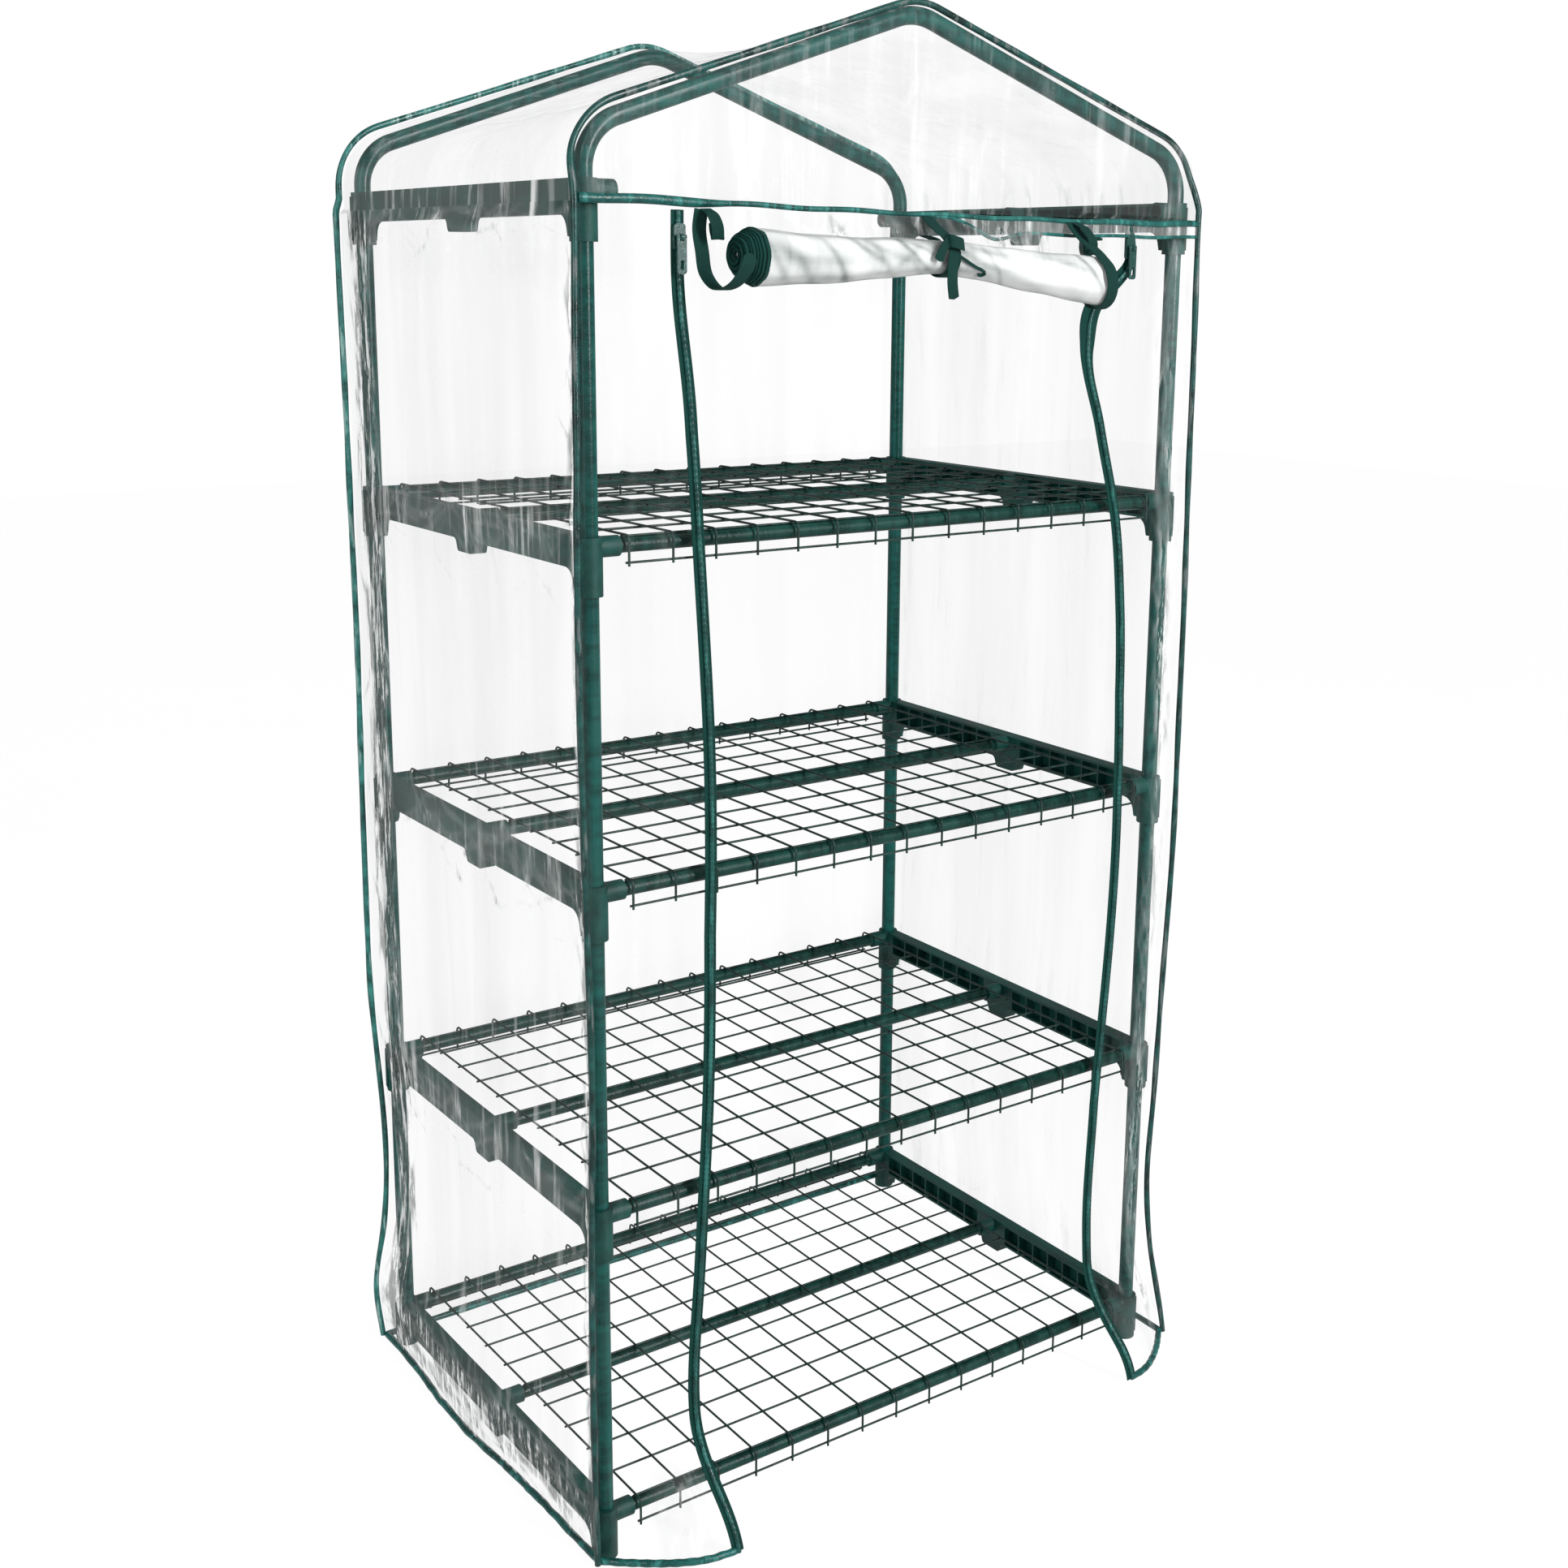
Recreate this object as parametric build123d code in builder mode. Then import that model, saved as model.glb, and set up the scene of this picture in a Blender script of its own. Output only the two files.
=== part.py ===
"""Four-tier mini greenhouse: a push-fit tube frame with wire shelves under a zipped film cover.

Millimetres, +Z up. The origin is on the ground under the centre of the whole object's box. The
doorway faces -Y. The rolled door adds depth only at the front, so the frame stands mid_y behind it.
"""
import os
from math import atan2, cos, degrees, radians, sqrt, tan

from build123d import *

# ---- Driving dimensions ----
post_span_x = 670.0  # between the axes of the left and right posts
post_span_y = 452.0  # between the axes of the front and rear posts
tier_pitch = 303.0  # from one level of brackets to the next
top_tier_pitch = 290.0  # from the fourth level to the fifth
tube_od = 16.0
tube_wall = 0.6
bar_od = 13.0
bar_wall = 0.6
slip = 0.2  # radial clearance of a tube in its socket

# Side brackets
sleeve_wall = 3.4
rib_proud = 1.2
rib_width = 2.4
rib_root = 0.5  # how deep a rib starts in the sleeve's wall
rib_margin = 4.0  # from a rib's end to the sleeve's end
stop_thickness = 2.0  # the wall inside a sleeve that the two tubes meet
bar_height = 41.0  # crossbar axis above the foot of a sleeve
socket_wall = 2.4
socket_depth = 15.0
beam_width = 15.0
beam_depth = 28.0
beam_web = 2.6
gusset_foot = 4.0  # height above the sleeve's foot at which a gusset leaves it
gusset_proud = 2.0  # how far the gusset's foot stands out of the sleeve
gusset_lean = 4.0
gusset_radius = 14.0
foot_radius = 1.0
boss_width = 38.0
boss_drop = 12.0
boss_taper = 4.0
boss_root_radius = 6.0
boss_tip_radius = 4.0
stiffener_pitch = 26.0
stiffener_thickness = 2.0
pocket_radius = 2.0
pocket_margin = 6.0  # solid beam left beside the boss and the sleeves

# Roof hoops
eave_height = 1288.0  # where the upright and the slope of a hoop would meet, on the tube's axis
peak_height = 1404.0
eave_radius = 46.0
peak_radius = 60.0
hoop_joint_x = 22.0  # the two halves of a hoop meet this far right of the peak
swage_length = 28.0
swage_root = 4.0

# Wire shelves
wire_diameter = 2.2
wire_sink = 0.5  # how far two crossing wires melt into each other
wires_between_bars = 4
cross_wire_pitch = 43.5
lip_drop = 14.0  # from the crossbar's axis down to the lip wire
lip_clearance = 1.2  # between the crossbar and the lip wire
wire_bend = 5.0
wire_end = 3.0  # the bent-down wires end this far below the lip wire's axis
shelf_end_gap = 3.0

# Cover
film_thickness = 0.6
cover_gap = 1.2  # between the film and the outermost ribs of the sleeves
header_height = 1231.0  # the seam that the rolled door hangs from
hem_height = 7.0
hem_bottom = 1.5
hem_lap = 1.0
piping_diameter = 6.0
piping_gap = 0.3
doorway_half_width = 250.0
zip_tape_width = 13.0
zip_tape_thickness = 1.6
tooth_depth = 1.6
tooth_width = 5.0
tape_gap = 1.0  # between the header piping and the top of a tape

# Zip sliders and their pulls
slider_length = 22.0
slider_width = 11.0
slider_corner = 3.0
slider_wall = 1.6
slider_gap = 0.35  # between the slider and the tape or the teeth
slider_drop = 16.0  # from the header seam down to the top of a parked slider
lug_width = 3.0
lug_radius = 2.6
pin_radius = 1.2
pin_clearance = 0.1
pull_length = 30.0
pull_width = 9.0
pull_thickness = 1.6
pull_gap = 0.5  # between the pull's fork and the slider's lug
pull_corner = 3.0
pull_head = 4.0
pull_hole_length = 8.0
pull_hole_width = 3.0
pull_hole_drop = 22.5  # from the pin down to the middle of the hole

# Rolled door and its ties
roll_length = 444.0
roll_end_radius = 26.0
roll_waist_radius = 17.5
roll_drop = 41.0  # from the header seam down to the roll's axis
roll_standoff = 6.0  # between the front film and the roll's ends
door_gap = 1.0  # between the front film and the unrolled part of the door
tie_width = 17.0
tie_thickness = 1.2
tie_gap = 0.6
ties = {"tie_left": -196.0, "tie_centre": 0.0, "tie_right": 190.0}
tie_tail = 30.0
tie_knot = 1.0  # how far the tail runs up into the loop

# ---- Values worked out from them ----
tube_radius = tube_od / 2
bar_radius = bar_od / 2
sleeve_bore = tube_radius + slip
sleeve_radius = sleeve_bore + sleeve_wall
socket_bore = bar_radius + slip
socket_radius = socket_bore + socket_wall
sleeve_height = bar_height + socket_radius
socket_floor = sleeve_radius + 0.6  # from the post axis out to where a crossbar stops
socket_reach = socket_floor + socket_depth
beam_bottom = sleeve_height - beam_depth
levels = [0.0, tier_pitch, 2 * tier_pitch, 3 * tier_pitch, 3 * tier_pitch + top_tier_pitch]

half_x = post_span_x / 2
half_y = post_span_y / 2
reach = sleeve_radius + rib_proud + cover_gap  # from a post's axis to the inside of the film
film_x = half_x + reach
film_y = half_y + reach
outer_y = film_y + film_thickness
piping_radius = piping_diameter / 2
roll_y = outer_y + roll_standoff + roll_end_radius
waist = roll_end_radius - roll_waist_radius
waist_curve = ((roll_length / 2) ** 2 + waist**2) / (2 * waist)


def roll_radius(x):
    """The roll's radius at x: its side is an arc, narrowest at the centre tie."""
    return roll_waist_radius + waist_curve - sqrt(waist_curve**2 - x**2)


def tie_radius(x):
    """The outside of the tie that is centred on x."""
    return roll_radius(abs(x) + tie_width / 2) + tie_gap + tie_thickness


front_extent = roll_y + max(roll_end_radius, *[tie_radius(x) for x in ties.values()])
rear_extent = outer_y + 2 * piping_radius
mid_y = (front_extent - rear_extent) / 2

roof_slope = degrees(atan2(peak_height - eave_height, half_x))
roof_offset = (tube_radius + cover_gap) / cos(radians(roof_slope))  # film above the tube's axis
film_peak = peak_height + roof_offset
film_eave = film_peak - film_x * tan(radians(roof_slope))

os.makedirs("parts", exist_ok=True)


def save(part, name):
    """Labels a finished piece and writes its STEP file."""
    part.label = name
    export_step(part, f"parts/{name}.step")


def corner_name(side, row):
    """A post's name from its side (-1 left, 1 right) and its row (-1 front, 1 rear)."""
    return ("front" if row < 0 else "rear") + "_" + ("left" if side < 0 else "right")


# ---- Side bracket: one moulding with a sleeve at each end and three crossbar sockets ----
# Drawn for the left side, about a point midway between the two posts, with its sockets towards +X.
gusset_y = half_y - sleeve_radius - gusset_proud
with BuildPart() as bracket:
    with BuildSketch(Plane.YZ) as side_view:
        with BuildLine():
            bottom = FilletPolyline(
                (-half_y, gusset_foot),
                (-gusset_y, gusset_foot),
                (-gusset_y + gusset_lean, beam_bottom),
                (-boss_width / 2, beam_bottom),
                (-boss_width / 2 + boss_taper, beam_bottom - boss_drop),
                (boss_width / 2 - boss_taper, beam_bottom - boss_drop),
                (boss_width / 2, beam_bottom),
                (gusset_y - gusset_lean, beam_bottom),
                (gusset_y, gusset_foot),
                (half_y, gusset_foot),
                radius=(
                    foot_radius,
                    gusset_radius,
                    boss_root_radius,
                    boss_tip_radius,
                    boss_tip_radius,
                    boss_root_radius,
                    gusset_radius,
                    foot_radius,
                ),
            )
            Line(bottom @ 1, (half_y, sleeve_height))
            Line((half_y, sleeve_height), (-half_y, sleeve_height))
            Line((-half_y, sleeve_height), bottom @ 0)
        make_face()
    extrude(amount=beam_width / 2, both=True)
    # Pockets open towards the inside leave the outer web, two flanges and a row of stiffeners.
    half_beam = half_y - sleeve_radius - boss_width / 2 - 2 * pocket_margin
    pockets = int(half_beam // stiffener_pitch)
    pocket_height = beam_depth - 2 * beam_web
    with BuildSketch(Plane.YZ.offset(beam_width / 2)):
        for end in (-1, 1):
            first = boss_width / 2 + pocket_margin + stiffener_pitch / 2
            for i in range(pockets):
                with Locations((end * (first + i * stiffener_pitch), beam_bottom + beam_depth / 2)):
                    RectangleRounded(stiffener_pitch - stiffener_thickness, pocket_height, pocket_radius)
    extrude(amount=-(beam_width - beam_web), mode=Mode.SUBTRACT)
    # Sleeves, ribs and sockets
    with BuildSketch(Plane.XY):
        with Locations((0, -half_y), (0, half_y)):
            Circle(sleeve_radius)
    extrude(amount=sleeve_height)
    with BuildSketch(Plane.XY.offset(rib_margin)):
        for end in (-1, 1):
            for turn in (150, 180, 210):
                with Locations(Location((0, end * half_y), turn)):
                    with Locations((sleeve_radius + (rib_proud - rib_root) / 2, 0)):
                        Rectangle(rib_proud + rib_root, rib_width)
    extrude(amount=sleeve_height - 2 * rib_margin)
    with BuildSketch(Plane.YZ.offset(beam_width / 4)):
        with Locations((-half_y, bar_height), (0, bar_height), (half_y, bar_height)):
            Circle(socket_radius)
    extrude(amount=socket_reach - beam_width / 4)
    with BuildSketch(Plane.YZ.offset(socket_reach)):
        with Locations((-half_y, bar_height), (0, bar_height), (half_y, bar_height)):
            Circle(socket_bore)
    extrude(amount=-socket_depth, mode=Mode.SUBTRACT)
    bore_depth = (sleeve_height - stop_thickness) / 2
    for plane in (Plane.XY.offset(sleeve_height), Plane.XY):
        inward = -bore_depth if plane.origin.Z > 0 else bore_depth
        with BuildSketch(plane):
            with Locations((0, -half_y), (0, half_y)):
                Circle(sleeve_bore)
        extrude(amount=inward, mode=Mode.SUBTRACT)

for number, level in enumerate(levels, start=1):
    left = bracket.part.moved(Location((-half_x, mid_y, level)))
    right = mirror(bracket.part, about=Plane.YZ).moved(Location((half_x, mid_y, level)))
    save(left, f"side_bracket_left_{number}")
    save(right, f"side_bracket_right_{number}")

# ---- Posts: each runs from the stop in one sleeve to the stop in the next ----
stop_top = (sleeve_height + stop_thickness) / 2
stop_bottom = (sleeve_height - stop_thickness) / 2
for number, (low, high) in enumerate(zip(levels, levels[1:]), start=1):
    with BuildPart() as post:
        with BuildSketch(Plane.XY):
            Circle(tube_radius)
            Circle(tube_radius - tube_wall, mode=Mode.SUBTRACT)
        extrude(amount=high + stop_bottom - low - stop_top)
    for side in (-1, 1):
        for row in (-1, 1):
            place = Location((side * half_x, mid_y + row * half_y, low + stop_top))
            save(post.part.moved(place), f"post_{corner_name(side, row)}_{number}")

# ---- Crossbars: three to a shelf, from socket floor to socket floor ----
for number, level in enumerate(levels[:4], start=1):
    with BuildPart() as crossbars:
        with BuildSketch(Plane.YZ.offset(-half_x + socket_floor)):
            for y in (mid_y - half_y, mid_y, mid_y + half_y):
                with Locations((y, level + bar_height)):
                    Circle(bar_radius)
                    Circle(bar_radius - bar_wall, mode=Mode.SUBTRACT)
        extrude(amount=2 * (half_x - socket_floor))
    save(crossbars.part, f"crossbars_{number}")

# ---- Roof hoops: the left half bends over the peak and its swaged nose fits the right half ----
hoop_foot = levels[4] + stop_top
hoop_joint = (hoop_joint_x, peak_height - hoop_joint_x * tan(radians(roof_slope)))
for row, end_name in ((-1, "front"), (1, "rear")):
    hoop_plane = Plane.XZ.offset(-(mid_y + row * half_y))
    with BuildPart() as hoop_left:
        with BuildLine(hoop_plane) as left_path:
            FilletPolyline(
                (-half_x, hoop_foot),
                (-half_x, eave_height),
                (0, peak_height),
                hoop_joint,
                radius=(eave_radius, peak_radius),
            )
        with BuildSketch(left_path.line ^ 0):
            Circle(tube_radius)
            Circle(tube_radius - tube_wall, mode=Mode.SUBTRACT)
        sweep(path=left_path.line)
        with BuildSketch(left_path.line ^ 1):
            Circle(tube_radius - tube_wall - slip)
            Circle(tube_radius - 3 * tube_wall, mode=Mode.SUBTRACT)
        extrude(amount=swage_length)
        with BuildSketch(left_path.line ^ 1):
            Circle(tube_radius - tube_wall / 2)
            Circle(tube_radius - 3 * tube_wall, mode=Mode.SUBTRACT)
        extrude(amount=-swage_root)
    save(hoop_left.part, f"hoop_{end_name}_left")
    with BuildPart() as hoop_right:
        with BuildLine(hoop_plane) as right_path:
            FilletPolyline(
                (half_x, hoop_foot),
                (half_x, eave_height),
                hoop_joint,
                radius=eave_radius,
            )
        with BuildSketch(right_path.line ^ 0):
            Circle(tube_radius)
            Circle(tube_radius - tube_wall, mode=Mode.SUBTRACT)
        sweep(path=right_path.line)
    save(hoop_right.part, f"hoop_{end_name}_right")

# ---- Wire shelves: welded mesh that lies on three crossbars and hooks down over two of them ----
wire_radius = wire_diameter / 2
long_wire_z = bar_height + bar_radius + wire_radius
cross_wire_z = long_wire_z + wire_diameter - wire_sink
lip_y = half_y + bar_radius + lip_clearance + wire_radius
hook_y = lip_y + wire_diameter - wire_sink
lip_z = bar_height - lip_drop
shelf_half = half_x - socket_reach - shelf_end_gap
cross_wires = int(2 * shelf_half // cross_wire_pitch) + 1
long_pitch = half_y / (wires_between_bars + 1)
with BuildPart() as shelf:
    with BuildSketch(Plane.YZ.offset(-shelf_half)):
        with GridLocations(long_pitch, 0, 2 * wires_between_bars + 3, 1):
            with Locations((0, long_wire_z)):
                Circle(wire_radius)
        with Locations((-lip_y, lip_z), (lip_y, lip_z)):
            Circle(wire_radius)
    extrude(amount=2 * shelf_half)
    with BuildLine(Plane.YZ) as cross_path:
        FilletPolyline(
            (-hook_y, lip_z - wire_end),
            (-hook_y, cross_wire_z),
            (hook_y, cross_wire_z),
            (hook_y, lip_z - wire_end),
            radius=wire_bend,
        )
    with BuildSketch(cross_path.line ^ 0) as wire_section:
        Circle(wire_radius)
    step = (2 * shelf_half - 2 * wire_diameter) / (cross_wires - 1)
    cross_wire = sweep(wire_section.sketch, path=cross_path.line, mode=Mode.PRIVATE)
    for i in range(cross_wires):
        add(cross_wire.moved(Location((-shelf_half + wire_diameter + i * step, 0, 0))))
for number, level in enumerate(levels[:4], start=1):
    save(shelf.part.moved(Location((0, mid_y, level))), f"wire_shelf_{number}")


# ---- Film cover ----
def roof_outline(inset):
    """The cover's cross-section above the header seam, as a line from the left eave to the right."""
    x = film_x - inset
    peak = film_peak - inset / cos(radians(roof_slope))
    eave = peak - x * tan(radians(roof_slope))
    corner = eave_radius + reach - inset
    return FilletPolyline(
        (-x, header_height),
        (-x, eave),
        (0, peak),
        (x, eave),
        (x, header_height),
        radius=(corner, peak_radius + tube_radius + cover_gap - inset, corner),
    )


with BuildPart() as roof:
    with BuildSketch(Plane.XZ.offset(-(mid_y + outer_y))):
        with BuildLine():
            outer = roof_outline(-film_thickness)
            inner = roof_outline(0.0)
            Line(outer @ 0, inner @ 0)
            Line(outer @ 1, inner @ 1)
        make_face()
    extrude(amount=2 * outer_y)
save(roof.part, "cover_roof")

for side, side_name in ((-1, "left"), (1, "right")):
    with BuildPart() as wall:
        with BuildSketch(Plane.YZ.offset(side * film_x)):
            with Locations((mid_y, (hem_height + header_height) / 2)):
                Rectangle(2 * outer_y, header_height - hem_height)
        extrude(amount=side * film_thickness)
    save(wall.part, f"cover_wall_{side_name}")

with BuildPart() as rear_wall:
    with BuildSketch(Plane.XZ.offset(-(mid_y + outer_y))):
        with BuildLine():
            top = roof_outline(0.0)
            Polyline(top @ 1, (film_x, hem_height), (-film_x, hem_height), top @ 0)
        make_face()
    extrude(amount=film_thickness)
save(rear_wall.part, "cover_wall_rear")

with BuildPart() as gable:
    with BuildSketch(Plane.XZ.offset(-(mid_y - film_y))):
        with BuildLine():
            top = roof_outline(0.0)
            Line(top @ 1, top @ 0)
        make_face()
    extrude(amount=film_thickness)
save(gable.part, "cover_front_gable")

strip_width = film_x - doorway_half_width
for side, side_name in ((-1, "left"), (1, "right")):
    strip_x = side * (film_x - strip_width / 2)
    with BuildPart() as strip:
        with BuildSketch(Plane.XZ.offset(-(mid_y - film_y))):
            with Locations((strip_x, (hem_height + header_height) / 2)):
                Rectangle(strip_width, header_height - hem_height)
        extrude(amount=film_thickness)
    save(strip.part, f"front_strip_{side_name}")

# ---- Piping and hem ----
corner_x = film_x + film_thickness + piping_radius
corner_y = outer_y + piping_radius
with BuildPart() as corner_piping:
    with BuildSketch(Plane.XY.offset(hem_bottom)):
        for side in (-1, 1):
            for row in (-1, 1):
                with Locations((side * corner_x, mid_y + row * corner_y)):
                    Circle(piping_radius)
    extrude(amount=header_height - hem_bottom)
save(corner_piping.part, "corner_piping")

with BuildPart() as roof_piping:
    for row in (-1, 1):
        with BuildLine(Plane.XZ.offset(-(mid_y + row * corner_y))):
            arch = roof_outline(-film_thickness - piping_radius)
        with BuildSketch(arch ^ 0):
            Circle(piping_radius)
        sweep(path=arch)
save(roof_piping.part, "roof_piping")

front_y = mid_y - outer_y - piping_gap
with BuildPart() as header_piping:
    with BuildSketch(Plane.YZ.offset(-film_x)):
        with Locations((front_y - piping_radius, header_height)):
            Circle(piping_radius)
    extrude(amount=2 * film_x)
save(header_piping.part, "header_piping")

with BuildPart() as hem:
    with BuildSketch(Plane.XY.offset(hem_bottom)):
        with Locations((0, mid_y)):
            Rectangle(2 * (film_x + film_thickness), 2 * outer_y)
            Rectangle(2 * (film_x - hem_lap), 2 * (film_y - hem_lap), mode=Mode.SUBTRACT)
        with Locations((0, mid_y - film_y)):
            Rectangle(2 * doorway_half_width, half_y, mode=Mode.SUBTRACT)
    extrude(amount=hem_height - hem_bottom)
save(hem.part, "hem_binding")

# ---- Zips: a tape and teeth down each edge of the doorway, a slider and a pull ----
tape_top = header_height - piping_radius - tape_gap
tape_back = mid_y - outer_y
tape_front = tape_back - zip_tape_thickness
slider_top = header_height - slider_drop
slider_back = tape_front - slider_gap
slider_depth = tooth_depth + slider_gap + slider_wall
pin_y = slider_back - slider_depth - lug_radius
pin_z = slider_top - slider_length / 2
fork_half = lug_width / 2 + pull_gap
for side, side_name in ((-1, "left"), (1, "right")):
    tape_x = side * (doorway_half_width + zip_tape_width / 2)
    with BuildPart() as zip_tape:
        with BuildSketch(Plane.XY.offset(hem_height)):
            with Locations((tape_x, (tape_back + tape_front) / 2)):
                Rectangle(zip_tape_width, zip_tape_thickness)
            with Locations((tape_x, tape_front - tooth_depth / 2)):
                Rectangle(tooth_width, tooth_depth)
        extrude(amount=tape_top - hem_height)
    save(zip_tape.part, f"zip_tape_{side_name}")

    with BuildPart() as slider:
        with BuildSketch(Plane.XZ.offset(-slider_back)):
            with Locations((tape_x, slider_top - slider_length / 2)):
                RectangleRounded(slider_width, slider_length, slider_corner)
        extrude(amount=slider_depth)
        with BuildSketch(Plane.XY.offset(slider_top)):
            with Locations((tape_x, slider_back - (tooth_depth + slider_gap) / 2)):
                Rectangle(tooth_width + 2 * slider_gap, tooth_depth + slider_gap)
        extrude(amount=-slider_length, mode=Mode.SUBTRACT)
        with BuildSketch(Plane.YZ.offset(tape_x)):
            with Locations((pin_y, pin_z)):
                Circle(lug_radius)
                with Locations((lug_radius / 2, 0)):
                    Rectangle(lug_radius, 2 * lug_radius)
                Circle(pin_radius + pin_clearance, mode=Mode.SUBTRACT)
        extrude(amount=lug_width / 2, both=True)
    save(slider.part, f"zip_slider_{side_name}")

    with BuildPart() as pull:
        with BuildSketch(Plane.XZ.offset(-(pin_y + pull_thickness / 2))):
            with Locations((tape_x, pin_z - pull_length / 2)):
                RectangleRounded(pull_width, pull_length, pull_corner)
            with Locations((tape_x, pin_z)):
                Rectangle(pull_width, pull_head)
                Rectangle(2 * fork_half, 2 * (lug_radius + pull_gap), mode=Mode.SUBTRACT)
            with Locations((tape_x, pin_z - pull_hole_drop)):
                SlotOverall(pull_hole_length, pull_hole_width, rotation=90, mode=Mode.SUBTRACT)
        extrude(amount=pull_thickness)
        with BuildSketch(Plane.YZ.offset(tape_x)):
            with Locations((pin_y, pin_z)):
                Circle(pin_radius)
        extrude(amount=pull_width / 2, both=True)
    save(pull.part, f"zip_pull_{side_name}")

# ---- The rolled door, the film it hangs from, and the ties that hold it up ----
roll_z = header_height - roll_drop
roll_centre = (mid_y - roll_y, roll_z)
with BuildPart() as door_roll:
    with BuildSketch(Plane.XY.offset(roll_z)):
        with BuildLine():
            side_arc = ThreePointArc(
                (-roll_length / 2, mid_y - roll_y + roll_end_radius),
                (0, mid_y - roll_y + roll_waist_radius),
                (roll_length / 2, mid_y - roll_y + roll_end_radius),
            )
            Polyline(
                side_arc @ 1,
                (roll_length / 2, mid_y - roll_y),
                (-roll_length / 2, mid_y - roll_y),
                side_arc @ 0,
            )
        make_face()
    revolve(axis=Axis((0, mid_y - roll_y, roll_z), (1, 0, 0)))
save(door_roll.part, "door_roll")

door_film_top = header_height - piping_radius - piping_gap
with BuildPart() as door_film:
    with BuildSketch(Plane.XZ.offset(-(mid_y - outer_y - door_gap))):
        with Locations((0, (door_film_top + roll_z) / 2)):
            Rectangle(roll_length, door_film_top - roll_z)
    extrude(amount=film_thickness)
save(door_film.part, "door_film")

for name, x in ties.items():
    outside = tie_radius(x)
    with BuildPart() as tie:
        with BuildSketch(Plane.YZ.offset(x)):
            with Locations(roll_centre):
                Circle(outside)
                Circle(outside - tie_thickness, mode=Mode.SUBTRACT)
                with Locations((outside - tie_thickness / 2, (door_film_top - roll_z) / 2)):
                    Rectangle(tie_thickness, door_film_top - roll_z)
                with Locations((0, tie_knot - outside - tie_tail / 2)):
                    Rectangle(tie_thickness, tie_tail)
        extrude(amount=tie_width / 2, both=True)
    save(tie.part, name)
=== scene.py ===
"""Looks of the mini greenhouse: film, piping, zips, rolled door and materials around the fixed CAD frame.

Metres, +Z up. The doorway faces -Y and the camera stands in front of it, to the left.
"""
from math import cos, pi, radians, sin

import bpy
import numpy as np
from mathutils import Matrix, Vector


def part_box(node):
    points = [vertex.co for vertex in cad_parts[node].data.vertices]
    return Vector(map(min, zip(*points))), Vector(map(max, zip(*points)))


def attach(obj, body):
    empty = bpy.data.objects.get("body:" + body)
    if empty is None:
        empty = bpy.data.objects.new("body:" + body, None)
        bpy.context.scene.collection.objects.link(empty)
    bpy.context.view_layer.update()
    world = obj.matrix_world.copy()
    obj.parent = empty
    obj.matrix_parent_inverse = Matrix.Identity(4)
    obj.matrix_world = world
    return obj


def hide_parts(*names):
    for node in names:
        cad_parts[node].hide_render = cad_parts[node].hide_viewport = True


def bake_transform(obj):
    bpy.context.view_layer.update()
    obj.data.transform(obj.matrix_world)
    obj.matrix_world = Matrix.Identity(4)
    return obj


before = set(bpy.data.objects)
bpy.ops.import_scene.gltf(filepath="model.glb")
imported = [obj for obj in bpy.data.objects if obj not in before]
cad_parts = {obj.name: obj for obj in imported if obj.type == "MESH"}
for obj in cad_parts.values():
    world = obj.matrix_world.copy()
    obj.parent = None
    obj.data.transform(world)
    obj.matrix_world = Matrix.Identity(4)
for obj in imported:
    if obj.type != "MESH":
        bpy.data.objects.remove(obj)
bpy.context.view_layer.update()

# ---- Places taken from the frame ----
LEFT, RIGHT = -1, 1
FRONT, REAR = -1, 1
NAMES = {LEFT: "left", RIGHT: "right"}


def middle(node):
    """The centre of a CAD node's box."""
    low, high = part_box(node)
    return (np.array(low) + np.array(high)) / 2


FRONT_Y = middle("post_front_left_1")[1]
REAR_Y = middle("post_rear_left_1")[1]
MID_Y = (FRONT_Y + REAR_Y) / 2
HALF_SPAN_Y = (REAR_Y - FRONT_Y) / 2
FILM_X = middle("cover_wall_right")[0]
FILM_Y = middle("cover_wall_rear")[1] - MID_Y
HEM_Z, HEADER_Z = (corner[2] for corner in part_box("cover_wall_left"))
TAPE_X = middle("zip_tape_right")[0]
ROLL_Y, ROLL_Z = middle("door_roll")[1:]
ROLL_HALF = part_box("door_roll")[1][0]
LEVELS = [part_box(f"side_bracket_left_{n}")[0][2] for n in range(1, 6)]

# The roof film's outline, 8 mm tube and 1.2 mm of air outside the axis of a hoop
EAVE_Z = 1.2968
PEAK_Z = 1.4139
EAVE_RADIUS = 0.060
PEAK_RADIUS = 0.069

HANG_TOP = 1.231  # the height that the film hangs down from
LOWEST_FILM = 0.004  # the foot of a wall stays this far above the floor
SKIN_LIMIT = -0.0008  # the furthest that film lies inside its flat place, so that it clears the frame

# ---- Number helpers ----


def smooth(x, low, high):
    """0 below low, 1 above high, and an even S between them."""
    t = np.clip((np.asarray(x, float) - low) / (high - low), 0.0, 1.0)
    return t * t * (3 - 2 * t)


def bump(x, centre, width):
    """A bell of height 1."""
    return np.exp(-(((np.asarray(x, float) - centre) / width) ** 2))


def through(stations, x):
    """A smooth curve through a few (x, value) stations, read at x."""
    at, value = np.array(sorted(stations), float).T
    slope = np.gradient(value, at)
    x = np.clip(np.asarray(x, float), at[0], at[-1])
    i = np.clip(np.searchsorted(at, x) - 1, 0, len(at) - 2)
    step = at[i + 1] - at[i]
    t = (x - at[i]) / step
    near = (2 * t**3 - 3 * t**2 + 1) * value[i] + (t**3 - 2 * t**2 + t) * step * slope[i]
    far = (-2 * t**3 + 3 * t**2) * value[i + 1] + (t**3 - t**2) * step * slope[i + 1]
    return near + far


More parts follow.
